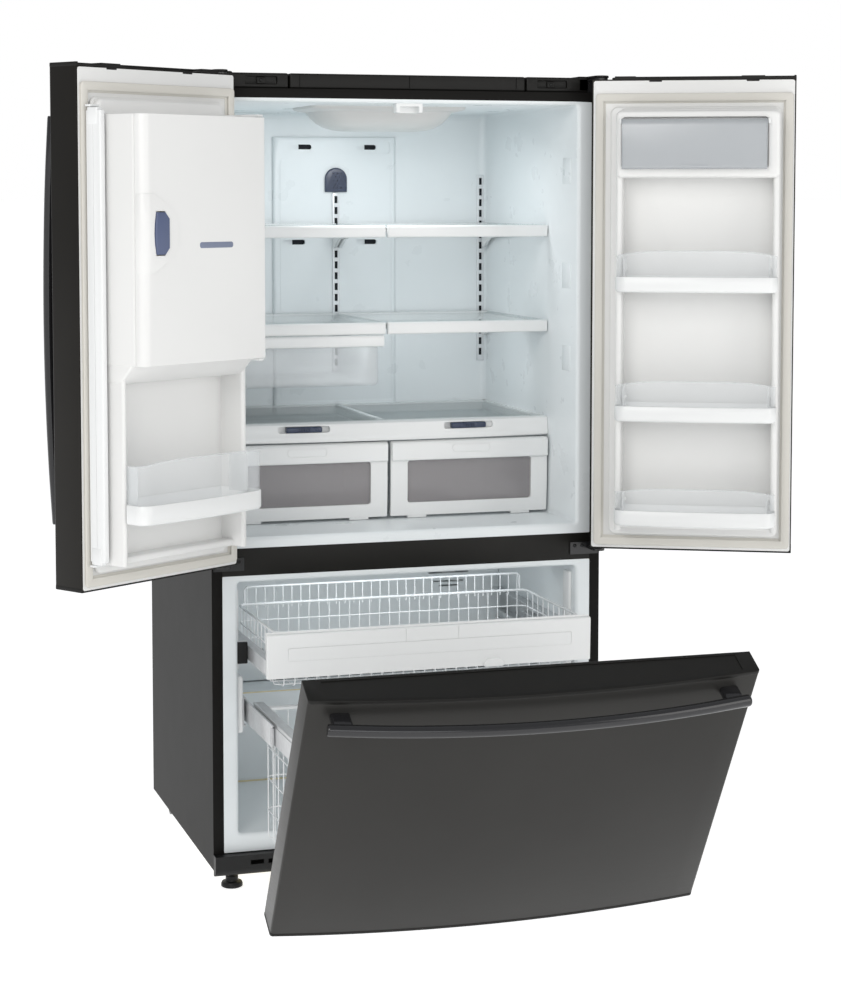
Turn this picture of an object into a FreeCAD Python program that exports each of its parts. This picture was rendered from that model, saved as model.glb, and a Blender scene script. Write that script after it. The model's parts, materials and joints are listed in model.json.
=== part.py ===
import FreeCAD, Part
import math
import os

# French door refrigerator, in millimetres.
# X runs to the right as seen from the front, Y to the back and Z up. The floor is Z = 0.
# Everything is drawn with Y = 0 at the cabinet's front face, doors and drawers closed.
# save() then opens each moving piece to its stored position, and moves the whole
# model back by ORIGIN_BACK, so that the origin is under the middle of its outline.

# ---- cabinet ----
HALF_WIDTH = 454.0
CASE_BOTTOM = 47.0
CASE_TOP = 1765.0
CASE_DEPTH = 726.0
SHEET = 1.0
LINER = 2.5
ORIGIN_BACK = 83.0

# ---- compartments, inner faces of their liners ----
CAVITY_HALF = 396.0
FRESH_LOW = 785.0
FRESH_HIGH = 1735.0
FRESH_BACK = 650.0
FREEZER_LOW = 125.0
FREEZER_HIGH = 686.0
FREEZER_BACK = 600.0
STEP_FRONT = 430.0
STEP_HIGH = 345.0
FAN_X = 262.0
FAN_Z = 600.0
MULLION_LOW = 700.0
MULLION_HIGH = 761.0
FRAME_HALF = 430.0
FRAME_TOP = 1743.0
FRAME_BOTTOM = 84.0

# ---- doors and freezer front ----
DOOR_LOW = 733.0
DOOR_HIGH = 1798.0
DOOR_SPLIT = 3.0
CAP = 9.0
DOOR_BACK = -12.0
END_THICK = 58.0
BOW = 24.0
FRONT_LOW = 95.5
FRONT_HIGH = 723.0
GASKET_GAP = 2.0
GASKET_WIDTH = 24.0
HINGE_X = 436.8
HINGE_Y = -38.3
PIN_R = 6.0
INLET_R = 5.55
RUNNING_GAP = 0.05
RECESS_R = 42.0

# ---- stored positions of what moves ----
LEFT_DOOR_OPEN = 146.3
RIGHT_DOOR_OPEN = 153.4
FRONT_TRAVEL = 495.0
FRONT_TILT = 30.3
UPPER_TRAVEL = 192.0
TILT_Y = -4.0
TILT_Z = 138.0
TILT_PIN_R = 4.0

# ---- freezer drawers and their rails, closed ----
PLATE_X = 360.0
PLATE = 5.2
BLOCK_X = 381.0
LOWER_RAIL = (360.0, 424.0)
UPPER_RAIL = (500.0, 552.0)
UPPER_RAIL_X = 371.0
BASKET_HALF = 351.0
UPPER_HALF = 350.0
UPPER_FRONT_HALF = 369.0
UPPER_FRONT = (502.0, 600.5)

# ---- inside the fresh food compartment ----
LAMP_FRONT = 156.0
SHELF_FRONT = 183.0
SHELF_BACK = 632.0
SHELF_TOPS = (1464.0, 1241.0)
TRIM_HIGH = 28.0
COVER_LOW = 970.0
COVER_HIGH = 1013.0
COVER_BOW = 18.0
CRISPER_LOW = 786.0
CRISPER_HIGH = 966.0
CRISPER_FRONT = 174.0
WALL = 3.0
SLIDER_SLOTS = ((-262.0, -142.0), (134.0, 254.0))
SLIDER_BACK = 186.0
SLIDER_LENGTH = 84.0
SLIDERS = (-243.0, 152.0)

# ---- door furniture, doors closed ----
PLUG_HALF = 392.0
PLUG_LOW = 789.0
ICE_HINGE_X = -387.0
ICE_FREE_X = -34.0
ICE_LOW = 1195.0
ICE_HIGH = 1694.0
ICE_FACE = 142.0
ICE_DOOR_BACK = 118.0
ICE_PIVOT_X = -378.0
ICE_PIVOT_Y = 128.0
SMALL_PIN_R = 2.5
DAIRY_Y = 105.0
DAIRY_Z = 1694.0
BIN_LEVELS = (1321.0, 1037.0, 806.0)
BIN_HEIGHTS = (91.0, 90.0, 84.0)
BIN_DEPTH = 136.0
LEFT_BIN_LOW = 877.0
LEFT_BIN_HEIGHT = 128.0
LEFT_BIN_DEPTH = 142.0
BIN_BAND = 34.0
BIN_REAR = 18.0
BIN_CORNER = 30.0
DIKE = 16.0
DIKE_FRONT = 84.0
FLAP_X = -21.0
FLAP_Y = 8.0
FLAP_LOW = 792.0
FLAP_HIGH = 1708.0
FLAP_LUGS = ((786.5, 791.0), (1709.0, 1713.5))
DISPENSER = (-335.0, -125.0, 1190.0, 1570.0)
RECESS_TOP = 1440.0
PADDLE_Z = 1425.0
PADDLE_Y = -46.0

X_AXIS = FreeCAD.Vector(1, 0, 0)
Y_AXIS = FreeCAD.Vector(0, 1, 0)
Z_AXIS = FreeCAD.Vector(0, 0, 1)


def vec(x, y, z):
    return FreeCAD.Vector(x, y, z)


def box(x0, x1, y0, y1, z0, z1):
    """A box between two limits on each axis, given in either order."""
    corner = vec(min(x0, x1), min(y0, y1), min(z0, z1))
    return Part.makeBox(abs(x1 - x0), abs(y1 - y0), abs(z1 - z0), corner)


def rod(start, axis, radius, length):
    return Part.makeCylinder(radius, length, start, axis)


def prism(points, along):
    """The closed outline through the points, extruded along a vector."""
    face = Part.Face(Part.makePolygon(points + points[:1]))
    return face.extrude(along)


def join(shapes):
    return shapes[0].fuse(shapes[1:]).removeSplitter()


def group(shapes):
    return Part.makeCompound(shapes)


def soften(shape, radius, axis, keep=None):
    """Round the straight edges that run along an axis, or those of them that keep() picks."""
    edges = []
    for edge in shape.Edges:
        straight = isinstance(edge.Curve, (Part.Line, Part.LineSegment))
        if not straight:
            continue
        if abs(edge.tangentAt(edge.FirstParameter).dot(axis)) < 0.999:
            continue
        if keep is None or keep(edge.CenterOfMass):
            edges.append(edge)
    return shape.makeFillet(radius, edges)


def both_sides(shape):
    return [shape, shape.mirror(vec(0, 0, 0), X_AXIS)]


def tray(x0, x1, y0, y1, z0, z1, wall, corner=0.0):
    """A box that is open at the top, with walls and floor of one thickness."""
    outer = box(x0, x1, y0, y1, z0, z1)
    inner = box(x0 + wall, x1 - wall, y0 + wall, y1 - wall, z0 + wall, z1 + wall)
    if corner > wall:
        outer = soften(outer, corner, Z_AXIS)
        inner = soften(inner, corner - wall, Z_AXIS)
    return outer.cut(inner)


def front_y(x):
    """Where the bowed front of the doors and the freezer front lies, at a given x."""
    radius = (HALF_WIDTH ** 2 + BOW ** 2) / (2 * BOW)
    drop = radius - math.sqrt(radius ** 2 - x ** 2)
    return DOOR_BACK - END_THICK - BOW + drop


def bowed_slab(x0, x1, z0, z1, inset=0.0, back=DOOR_BACK, corner=6.0):
    """A door-shaped slab: flat at the back, bowed at the front and rounded down its front edges."""
    middle = (x0 + x1) / 2
    start = vec(x0, front_y(x0) + inset, z0)
    top = vec(middle, front_y(middle) + inset, z0)
    end = vec(x1, front_y(x1) + inset, z0)
    outline = [
        Part.makeLine(vec(x0, back, z0), start),
        Part.Arc(start, top, end).toShape(),
        Part.makeLine(end, vec(x1, back, z0)),
        Part.makeLine(vec(x1, back, z0), vec(x0, back, z0)),
    ]
    slab = Part.Face(Part.Wire(outline)).extrude(vec(0, 0, z1 - z0))
    if corner:
        slab = soften(slab, corner, Z_AXIS, lambda p: p.y < back - 20)
    return slab


def bent_bar(start, middle, end, radius):
    """A round bar along the arc through three points."""
    path = Part.Wire([Part.Arc(start, middle, end).toShape()])
    heading = path.Edges[0].tangentAt(path.Edges[0].FirstParameter)
    section = Part.Wire([Part.makeCircle(radius, start, heading)])
    return path.makePipeShell([section], True, False)


# ---- how each moving group is opened from its closed place ----
def fixed(shape):
    """Cabinet pieces stay where they are drawn."""
    return shape


def on_left_door(shape):
    turned = shape.copy()
    turned.rotate(vec(-HINGE_X, HINGE_Y, 0), Z_AXIS, -LEFT_DOOR_OPEN)
    return turned


def on_right_door(shape):
    turned = shape.copy()
    turned.rotate(vec(HINGE_X, HINGE_Y, 0), Z_AXIS, RIGHT_DOOR_OPEN)
    return turned


def on_flap(shape):
    """The flap is folded back against its door when the door is open."""
    turned = shape.copy()
    turned.rotate(vec(FLAP_X, FLAP_Y, 0), Z_AXIS, 90)
    return on_left_door(turned)


def slid(distance):
    def place(shape):
        moved = shape.copy()
        moved.translate(vec(0, -distance, 0))
        return moved

    return place


def on_freezer_front(shape):
    turned = shape.copy()
    turned.rotate(vec(0, TILT_Y, TILT_Z), X_AXIS, FRONT_TILT)
    return slid(FRONT_TRAVEL)(turned)


def save(name, shape, place=fixed):
    """Write one sub-part, opened to its stored position, as parts/NAME.step."""
    stored = place(shape).copy()
    stored.translate(vec(0, ORIGIN_BACK, 0))
    stored.exportStep("parts/" + name + ".step")


# ---- cabinet ----
def cabinet_shell():
    """The painted steel case: sides, top, back and the narrow flange round the front."""
    outer = box(-HALF_WIDTH, HALF_WIDTH, 0, CASE_DEPTH, CASE_BOTTOM, CASE_TOP)
    inside = HALF_WIDTH - SHEET
    hollow = box(-inside, inside, SHEET, CASE_DEPTH - SHEET, CASE_BOTTOM - 1, CASE_TOP - SHEET)
    mouth = box(-FRAME_HALF, FRAME_HALF, -1, SHEET + 1, CASE_BOTTOM - 1, FRAME_TOP)
    bay = box(-inside + 20, inside - 20, CASE_DEPTH - 2, CASE_DEPTH + 1, CASE_BOTTOM - 1, 300)
    bottom_rail = box(-FRAME_HALF, FRAME_HALF, 0, SHEET, CASE_BOTTOM, FRAME_BOTTOM)
    return join([outer.cut(hollow).cut(mouth).cut(bay), bottom_rail])


def foam_walls():
    """The insulation between case and liners, as slabs that meet face to face."""
    out = HALF_WIDTH - SHEET
    inn = CAVITY_HALF + LINER
    front = LINER
    back = CASE_DEPTH - SHEET
    top = CASE_TOP - SHEET
    base = FRAME_BOTTOM + 2
    step_back = STEP_FRONT + 40
    shelf_low = STEP_HIGH - LINER - 38
    slabs = both_sides(box(inn, out, front, back, base, top))
    slabs.append(box(-inn, inn, front, back, FRESH_HIGH + LINER, top))
    slabs.append(box(-inn, inn, FRESH_BACK + LINER, back, FRESH_LOW - LINER, FRESH_HIGH + LINER))
    slabs.append(box(-inn, inn, front, back, FREEZER_HIGH + LINER, FRESH_LOW - LINER))
    slabs.append(box(-inn, inn, FREEZER_BACK + LINER, back, STEP_HIGH - LINER, FREEZER_HIGH + LINER))
    slabs.append(box(-inn, inn, step_back, back, shelf_low, STEP_HIGH - LINER))
    slabs.append(box(-inn, inn, STEP_FRONT + LINER, step_back, base, STEP_HIGH - LINER))
    slabs.append(box(-inn, inn, front, STEP_FRONT + LINER, base, FREEZER_LOW - LINER))
    return group(slabs)


def fresh_food_liner():
    """The white moulded inside of the fresh food compartment, with its front frame."""
    outer = box(-CAVITY_HALF - LINER, CAVITY_HALF + LINER, 0, FRESH_BACK + LINER,
                FRESH_LOW - LINER, FRESH_HIGH + LINER)
    frame = box(-FRAME_HALF, FRAME_HALF, 0, LINER, MULLION_HIGH, FRAME_TOP)
    inner = box(-CAVITY_HALF, CAVITY_HALF, -1, FRESH_BACK, FRESH_LOW, FRESH_HIGH)
    inner = soften(inner, 5, Y_AXIS)
    guide = box(-31, 31, 3, 42, FRESH_HIGH - 20, FRESH_HIGH + 1)
    groove = box(-22, 22, 2, 34, FRESH_HIGH - 21, FRESH_HIGH - 5)
    return join([join([outer, frame]).cut(inner), guide.cut(groove)])


def freezer_liner():
    """The inside of the freezer compartment, stepped up over the machine bay."""
    def section(grow, front):
        low = FREEZER_LOW - grow
        high = FREEZER_HIGH + grow
        half = CAVITY_HALF + grow
        outline = [
            vec(-half, front, low),
            vec(-half, STEP_FRONT + grow, low),
            vec(-half, STEP_FRONT + grow, STEP_HIGH - grow),
            vec(-half, FREEZER_BACK + grow, STEP_HIGH - grow),
            vec(-half, FREEZER_BACK + grow, high),
            vec(-half, front, high),
        ]
        return prism(outline, vec(2 * half, 0, 0))

    frame = box(-FRAME_HALF, FRAME_HALF, 0, LINER, FRAME_BOTTOM, MULLION_LOW)
    blocks = both_sides(box(BLOCK_X, CAVITY_HALF + 1, 16, 530, STEP_HIGH + 1, LOWER_RAIL[1] + 50))
    return join([join([section(LINER, 0), frame]).cut(section(0, -1))] + blocks)


def mullion_rail():
    """The dark rail between the two compartments."""
    return box(-FRAME_HALF, FRAME_HALF, 0, LINER, MULLION_LOW, MULLION_HIGH)


def top_covers():
    """Two hinge covers that reach over the door hinges, and the long cover between them."""
    top = CASE_TOP + 36
    low_cover = box(275, HALF_WIDTH, 6, 95, CASE_TOP, CASE_TOP + 33)
    low_cover = low_cover.cut(box(277, HALF_WIDTH - 2, 8, 93, CASE_TOP - 1, CASE_TOP + 30.5))
    lobe = rod(vec(HINGE_X, HINGE_Y, top - 5.5), Z_AXIS, 17, 5.5)
    neck = box(HINGE_X - 17, HINGE_X + 17, HINGE_Y, 60, top - 5.5, top)
    reach = join([lobe, neck]).cut(box(0, 600, 4, 61, top - 6, CASE_TOP + 33))
    notch = box(HINGE_X - 16, HINGE_X + 13, 5, 9, CASE_TOP - 1, CASE_TOP + 4)
    hinge_cover = join([low_cover.cut(notch), reach])
    long_cover = box(-272, 272, 6, 95, CASE_TOP, CASE_TOP + 33)
    long_cover = long_cover.cut(box(-270, 270, 8, 93, CASE_TOP - 1, CASE_TOP + 30.5))
    return group(both_sides(hinge_cover) + [long_cover])


def door_hinges():
    """Top and centre hinges with their pins, one of each for each door."""
    arm_low = CASE_TOP + 26
    lobe = rod(vec(HINGE_X, HINGE_Y, arm_low), Z_AXIS, 15, 4)
    arm = box(HINGE_X - 15, HINGE_X + 15, HINGE_Y, 5, arm_low, arm_low + 4)
    riser = box(HINGE_X - 15, HINGE_X + 15, 1.5, 5.5, CASE_TOP, arm_low + 4)
    foot = box(HINGE_X - 100, HINGE_X + 12, 9, 80, CASE_TOP, CASE_TOP + 3)
    link = box(HINGE_X - 15, HINGE_X + 12, 1.5, 12, CASE_TOP, CASE_TOP + 3)
    pin = rod(vec(HINGE_X, HINGE_Y, arm_low - 31), Z_AXIS, PIN_R, 33)
    top = join([lobe, arm, riser, foot, link, pin])
    shelf_low = FRONT_HIGH + 2
    plate = box(HINGE_X - 55, HINGE_X + 13, -3, 0, 712, 740)
    shelf = box(HINGE_X - 14, HINGE_X + 14, HINGE_Y, -2, shelf_low, shelf_low + 5)
    nose = rod(vec(HINGE_X, HINGE_Y, shelf_low), Z_AXIS, 14, 5)
    low_pin = rod(vec(HINGE_X, HINGE_Y, shelf_low + 4), Z_AXIS, PIN_R, 30)
    centre = join([plate, shelf, nose, low_pin])
    return group(both_sides(top) + both_sides(centre))


def base_grille():
    """The black cover under the freezer front, with air slots."""
    grille = box(-HALF_WIDTH, HALF_WIDTH, -22, -0.2, 36, 82)
    grille = soften(grille, 16, X_AXIS, lambda p: p.y < -20 and p.z < 40)
    grille = grille.cut(box(-450, 450, -18, 1, 40, 78))
    slots = []
    for step in range(-9, 10):
        slots.append(box(step * 40 - 15, step * 40 + 15, -23, -17, 60, 70))
    return grille.cut(group(slots))


def base_frame():
    """The steel chassis: two side runners and the floor of the machine bay."""
    runner = box(391, 450, 4, 700, 50, 54)
    wall = box(447, 450, 4, 700, 50, 84)
    nut = box(391, 424, 12, 46, 54, 72)
    pan = box(-392, 392, 480, 700, 50, 54)
    frame = join([pan] + both_sides(join([runner, wall, nut])))
    for side in (-1, 1):
        frame = frame.cut(rod(vec(side * 407, 28, 40), Z_AXIS, PIN_R + RUNNING_GAP, 60))
    for side in (-1, 1):
        frame = frame.cut(box(side * 398, side * 428, 628, 672, 48, 56))
    return frame


def rear_axle_blocks():
    """The brackets that carry the rear rollers' axle ends."""
    block = box(430, 434, 636, 664, 20, 52)
    block = join([block, box(392, 396, 636, 664, 20, 52)])
    return both_sides(block)


def compressor():
    """The sealed compressor on its base plate, with two pipe stubs."""
    can = rod(vec(-230, 590, 62), Z_AXIS, 78, 128)
    can = can.makeFillet(30, can.Edges)
    plate = box(-330, -130, 530, 650, 54, 62)
    lead = bent_bar(vec(-160, 590, 150), vec(-120, 590, 205), vec(-60, 590, 225), 5)
    return join([can, plate, lead])


def condenser():
    """A finned condenser block with its fan shroud."""
    block = box(40, 200, 500, 660, 70, 215)
    shroud = box(204, 232, 510, 655, 66, 220)
    bore = rod(vec(203, 582, 143), X_AXIS, 66, 30)
    hub = rod(vec(204, 582, 143), X_AXIS, 20, 6)
    spoke = box(204, 210, 512, 653, 139, 147)
    foot = box(40, 232, 540, 600, 54, 70)
    return join([block, shroud.cut(bore), hub, spoke, foot, box(200, 204, 512, 520, 70, 215)])


def fan_blades(centre, axis_x, radius, depth):
    """A hub with five pitched blades, turning about X or Y."""
    axis = X_AXIS if axis_x else Y_AXIS
    hub = rod(centre, axis, 18, depth)
    pieces = [hub]
    for blade in range(5):
        wing = box(0, 2, -14, 14, 12, radius)
        wing.rotate(vec(1, 0, 0), Z_AXIS, 38)
        wing.translate(vec(depth / 2 - 1, 0, 0))
        wing.rotate(vec(0, 0, 0), X_AXIS, 72 * blade)
        if not axis_x:
            wing.rotate(vec(0, 0, 0), Z_AXIS, 90)
        wing.translate(centre)
        pieces.append(wing)
    return join(pieces)


def rear_cover():
    """The cover over the machine bay, with air slots, a cord hole and a water inlet hole."""
    cover = box(-432, 432, CASE_DEPTH - 1, CASE_DEPTH + 1, 50, 299)
    slots = []
    for row in range(6):
        for column in range(-7, 8):
            if abs(column + 5) > 1:
                slots.append(box(column * 50 - 18, column * 50 + 18, CASE_DEPTH - 2, CASE_DEPTH + 2,
                                 90 + row * 30, 98 + row * 30))
    cover = cover.cut(group(slots))
    cover = cover.cut(rod(vec(-300, CASE_DEPTH - 3, 250), Y_AXIS, 11, 6))
    return cover.cut(rod(vec(-200, CASE_DEPTH - 3, 250), Y_AXIS, 14, 6))


def water_valve():
    """The inlet valve, with its hose thread standing out of the back."""
    body = box(-218, -182, 660, 700, 225, 275)
    neck = rod(vec(-200, 699, 250), Y_AXIS, 4.6, 30)
    thread = rod(vec(-200, CASE_DEPTH + 2, 250), Y_AXIS, INLET_R, 14)
    bore = rod(vec(-200, 690, 250), Y_AXIS, 3.2, 60)
    return join([body, neck, thread]).cut(bore)


def cord_inlet():
    """The grommet that the supply cord would come through."""
    flange = rod(vec(-300, CASE_DEPTH + 1, 250), Y_AXIS, 16, 4)
    sleeve = rod(vec(-300, CASE_DEPTH - 10, 250), Y_AXIS, 10.8, 14)
    bore = rod(vec(-300, CASE_DEPTH - 12, 250), Y_AXIS, 5, 30)
    return join([flange, sleeve]).cut(bore)


def evaporator():
    """The finned coil behind the freezer's rear cover."""
    block = box(-260, 140, 552, 592, 380, 560)
    header = box(-280, 160, 566, 578, 366, 574)
    return join([block, header])


def evaporator_cover():
    """The rear wall of the freezer, in front of the coil: louvres before the fan, return slots below."""
    x, z = FAN_X, FAN_Z
    cover = box(-CAVITY_HALF + 0.5, CAVITY_HALF - 0.5, 536, 542, 347, 684)
    louvres = []
    for row, reach in zip(range(-4, 5), (26, 40, 48, 52, 54, 52, 48, 40, 26)):
        level = z + row * 11
        louvres.append(box(x - reach, x + reach, 535, 543, level, level + 4))
    slots = [box(k * 46 - 16, k * 46 + 16, 535, 543, 420, 427) for k in range(-6, 7)]
    return cover.cut(group(louvres + slots))


def air_duct():
    """The moulded duct up the back wall, with two rows of outlets."""
    duct = box(-159, 157, 640, FRESH_BACK, 1000, 1676)
    duct = soften(duct, 8, Z_AXIS, lambda p: p.y < 641)
    outlets = []
    for low in (1656, 1411):
        outlets.append(box(-118, -60, 636, 646, low, low + 12))
        outlets.append(box(61, 113, 636, 646, low, low + 12))
    band = box(-140, 138, 638, 642, 1637, 1672)
    return duct.cut(band).cut(group(outlets))


def air_filter():
    """The half-oval filter cap on the duct."""
    cap = rod(vec(0, 631, 1573), Y_AXIS, 28, 9)
    return cap.fuse(box(-28, 28, 631, 640, 1541, 1573)).removeSplitter()


def shelf_tracks():
    """Three slotted steel tracks that the shelves hook into."""
    tracks = []
    for x, y, low, high in ((0, 640, 1094, 1538), (-382, FRESH_BACK, 1113, 1584),
                            (382, FRESH_BACK, 1113, 1584)):
        strip = box(x - 9, x + 9, y - 6, y, low, high)
        slots = [box(x - 4, x + 4, y - 7, y - 2, level, level + 18)
                 for level in range(low + 14, high - 24, 27)]
        tracks.append(strip.cut(group(slots)))
    return group(tracks)


def lamp_cover():
    """The wide shallow diffuser under the ceiling."""
    def hull(inset, top):
        ends = [
            vec(-186 + inset, LAMP_FRONT + inset, top),
            vec(-128 + inset, LAMP_FRONT + inset, 1680 + inset),
            vec(128 - inset, LAMP_FRONT + inset, 1680 + inset),
            vec(186 - inset, LAMP_FRONT + inset, top),
        ]
        return prism(ends, vec(0, 190 - 2 * inset, 0))

    return hull(0, FRESH_HIGH).cut(hull(2.5, FRESH_HIGH + 1))


def half_shelf(side, top):
    """One cantilever half shelf: bowed brackets, front trim and rear bar. Returns frame and glass."""
    inner = 3.0
    outer = CAVITY_HALF - 3
    arm = [
        vec(inner, SHELF_FRONT + 16, top - 14),
        vec(inner, SHELF_FRONT + 16, top - 4),
        vec(inner, SHELF_BACK, top - 4),
        vec(inner, SHELF_BACK, top - 62),
        vec(inner, SHELF_BACK - 40, top - 52),
        vec(inner, SHELF_BACK - 150, top - 24),
    ]
    arms = [prism(arm, vec(8, 0, 0)), prism(arm, vec(8, 0, 0))]
    arms[1].translate(vec(outer - inner - 20, 0, 0))
    trim = box(inner, outer, SHELF_FRONT, SHELF_FRONT + 16, top - TRIM_HIGH, top)
    trim = soften(trim, 7, X_AXIS, lambda p: p.y < SHELF_FRONT + 1)
    bar = box(inner, outer, SHELF_BACK - 10, SHELF_BACK, top - 22, top)
    frame = join(arms + [trim, bar])
    glass = box(inner, outer, SHELF_FRONT + 16, SHELF_BACK - 10, top - 4, top)
    if side < 0:
        return [piece.mirror(vec(0, 0, 0), X_AXIS) for piece in (frame, glass)]
    return [frame, glass]


def crisper_cover():
    """The shelf over the crispers: bowed front trim with two slider slots, rails and glass."""
    half = CAVITY_HALF - 1
    front = SHELF_FRONT - COVER_BOW
    corner = vec(-half, SHELF_FRONT, COVER_LOW)
    bow = Part.Arc(corner, vec(0, front, COVER_LOW), vec(half, SHELF_FRONT, COVER_LOW)).toShape()
    back = SHELF_FRONT + 34
    outline = [
        bow,
        Part.makeLine(vec(half, SHELF_FRONT, COVER_LOW), vec(half, back, COVER_LOW)),
        Part.makeLine(vec(half, back, COVER_LOW), vec(-half, back, COVER_LOW)),
        Part.makeLine(vec(-half, back, COVER_LOW), corner),
    ]
    trim = Part.Face(Part.Wire(outline)).extrude(vec(0, 0, COVER_HIGH - COVER_LOW))
    for x0, x1 in SLIDER_SLOTS:
        trim = trim.cut(box(x0, x1, front - 2, SLIDER_BACK + 1, 992, 1007))
    rails = both_sides(box(half - 14, half, back, 640, 988, COVER_HIGH))
    middle = box(-7, 7, back, 640, 988, COVER_HIGH)
    rear = box(-half, half, 622, 640, 988, COVER_HIGH)
    frame = join([trim, middle, rear] + rails)
    glass = box(-half + 10, half - 10, back - 8, 626, COVER_HIGH - 4, COVER_HIGH)
    return [frame.cut(glass), glass]


def shelves():
    """All shelf frames and all shelf glass, with the runners of the snack pan."""
    frames = []
    panes = []
    for top in SHELF_TOPS:
        for side in (-1, 1):
            frame, glass = half_shelf(side, top)
            frames.append(frame)
            panes.append(glass)
    low = SHELF_TOPS[1] - TRIM_HIGH
    runners = []
    for web, ledge in (((-394, -391), (-394, -384)), ((-7, -4), (-14, -4))):
        upright = box(web[0], web[1], 200, 560, low - 26, low + 16)
        runners.append(join([upright, box(ledge[0], ledge[1], 200, 560, low - 26, low - 23)]))
    frames[2] = join([frames[2]] + runners)
    frame, glass = crisper_cover()
    frames.append(frame)
    panes.append(glass)
    return group(frames), group(panes)


def humidity_slider(start):
    return box(start, start + SLIDER_LENGTH, 163, SLIDER_BACK, 993, 1006)


def crisper(side):
    """A crisper drawer: clear pan, thick front with a window opening and a grip lip."""
    x0, x1 = (6.0, 390.0) if side > 0 else (-390.0, -2.0)
    pan = tray(x0, x1, CRISPER_FRONT + 12, 618, CRISPER_LOW, CRISPER_HIGH, WALL, 16)
    front = box(x0, x1, CRISPER_FRONT, CRISPER_FRONT + 12, CRISPER_LOW, CRISPER_HIGH)
    window = box(x0 + 40, x1 - 40, CRISPER_FRONT - 1, CRISPER_FRONT + 8, 822, 921)
    lip = box(x0 + 10, x1 - 10, CRISPER_FRONT - 10, CRISPER_FRONT, 930, 964)
    lip = soften(lip, 8, X_AXIS, lambda p: p.y < CRISPER_FRONT - 9)
    grip = box(x0 + 20, x1 - 20, CRISPER_FRONT - 4, CRISPER_FRONT + 8, 926, 950)
    return join([join([pan, front]).cut(window), lip]).cut(grip)


def snack_pan():
    """The shallow pan that hangs under the lower left shelf, with a front bar."""
    top = SHELF_TOPS[1] - TRIM_HIGH
    pan = tray(-380, -18, 192, 556, 1094, top - 18, WALL, 14)
    rim = box(-389, -9, 192, 556, top - 21, top - 18)
    rim = rim.cut(box(-377, -21, 195, 553, top - 22, top - 17))
    bar = box(-392, -8, 178, 192, top - 28, top - 1.5)
    bar = soften(bar, 6, X_AXIS, lambda p: p.y < 179)
    return join([pan, rim, bar])


# ---- freezer drawers ----
def rail_pair(x0, x1, y0, y1, z0, z1):
    """A pair of channel-shaped rails, their open sides turned inwards."""
    channel = box(x0, x1, y0, y1, z0, z1)
    lips = box(x0 - 1, x1 - 1.6, y0 - 1, y1 + 1, z0 + 5, z1 - 5)
    return both_sides(channel.cut(lips))


def rail_outers():
    """The fixed members: the lower pair stands on blocks, the upper pair reaches out from the walls."""
    lower = rail_pair(PLATE_X + 14, BLOCK_X - 0.4, 20, 520, LOWER_RAIL[0], LOWER_RAIL[1])
    upper = rail_pair(UPPER_RAIL_X, CAVITY_HALF - 0.4, 20, 520, UPPER_RAIL[0], UPPER_RAIL[1])
    return group(lower + upper)


def rail_middles():
    low, high = LOWER_RAIL
    return group(both_sides(box(PLATE_X + 9, PLATE_X + 13.4, 24, 500, low + 8, high - 8)))


def drawer_frame():
    """The moving frame: inner rails, cross bars and the side plates that carry the front."""
    low, high = LOWER_RAIL
    inner = PLATE_X + PLATE - 0.2
    rail = box(inner, inner + 3.4, 24, 484, low + 12, high - 12)
    side = [
        vec(PLATE_X, 20, high - 4),
        vec(PLATE_X, 484, high - 4),
        vec(PLATE_X, 484, high - 30),
        vec(PLATE_X, 300, high - 46),
        vec(PLATE_X, 70, high - 60),
        vec(PLATE_X, 12, TILT_Z + 2),
        vec(PLATE_X, TILT_Y, TILT_Z - 8),
        vec(PLATE_X, TILT_Y - 6, TILT_Z + 2),
    ]
    plate = prism(side, vec(PLATE, 0, 0))
    eye = rod(vec(PLATE_X, TILT_Y, TILT_Z), X_AXIS, 7, PLATE)
    bore = rod(vec(PLATE_X - 5, TILT_Y, TILT_Z), X_AXIS, TILT_PIN_R + RUNNING_GAP, 20)
    sides = both_sides(join([rail, plate, eye]).cut(bore))
    cross = [box(-PLATE_X - 1, PLATE_X + 1, y, y + 6, high - 24, high - 14) for y in (40, 478)]
    return join(sides + cross)


def main_basket():
    """The deep lower basket, drawn as a thin-walled tub with a rolled rim."""
    half = BASKET_HALF
    tub = tray(-half, half, 52, 424, 132, 412, WALL, 20)
    rim = box(-half - 8, half + 8, 48, 470, 414, 420).cut(box(6 - half, half - 6, 60, 418, 413, 421))
    collar = box(-half, half, 52, 424, 411, 415).cut(box(WALL - half, half - WALL, 55, 421, 410, 416))
    return join([tub, collar, rim])


def upper_basket():
    """The shallow upper basket with the inner rails that carry it."""
    half = UPPER_HALF
    low, high = UPPER_RAIL
    tub = tray(-half, half, 44, 402, 478, 600, WALL, 20)
    back = box(20 - half, half - 20, 399, 402, 598, 640)
    carrier = both_sides(box(half - 1, UPPER_RAIL_X - 8, 60, 396, low + 24, low + 28))
    rails = both_sides(box(UPPER_RAIL_X - 9, UPPER_RAIL_X - 1, 44, 430, low + 10, high - 11))
    return join([tub, back] + carrier + rails)


def upper_drawer_front():
    """The white front of the upper drawer, with a long shallow panel line."""
    half = UPPER_FRONT_HALF
    low, high = UPPER_FRONT
    panel = box(-half, half, 26, 44, low, high)
    panel = soften(panel, 7, X_AXIS, lambda p: p.y < 27)
    return panel.cut(box(48 - half, half - 48, 25, 28, low + 16, low + 44))


# ---- freezer front ----
def freezer_skin():
    """The bowed steel front with its plastic end caps."""
    outer = bowed_slab(-HALF_WIDTH, HALF_WIDTH, FRONT_LOW, FRONT_HIGH)
    inner = bowed_slab(-HALF_WIDTH + SHEET, HALF_WIDTH - SHEET, FRONT_LOW + CAP, FRONT_HIGH - CAP,
                       inset=SHEET, back=DOOR_BACK + 1, corner=5)
    return outer.cut(inner)


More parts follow.
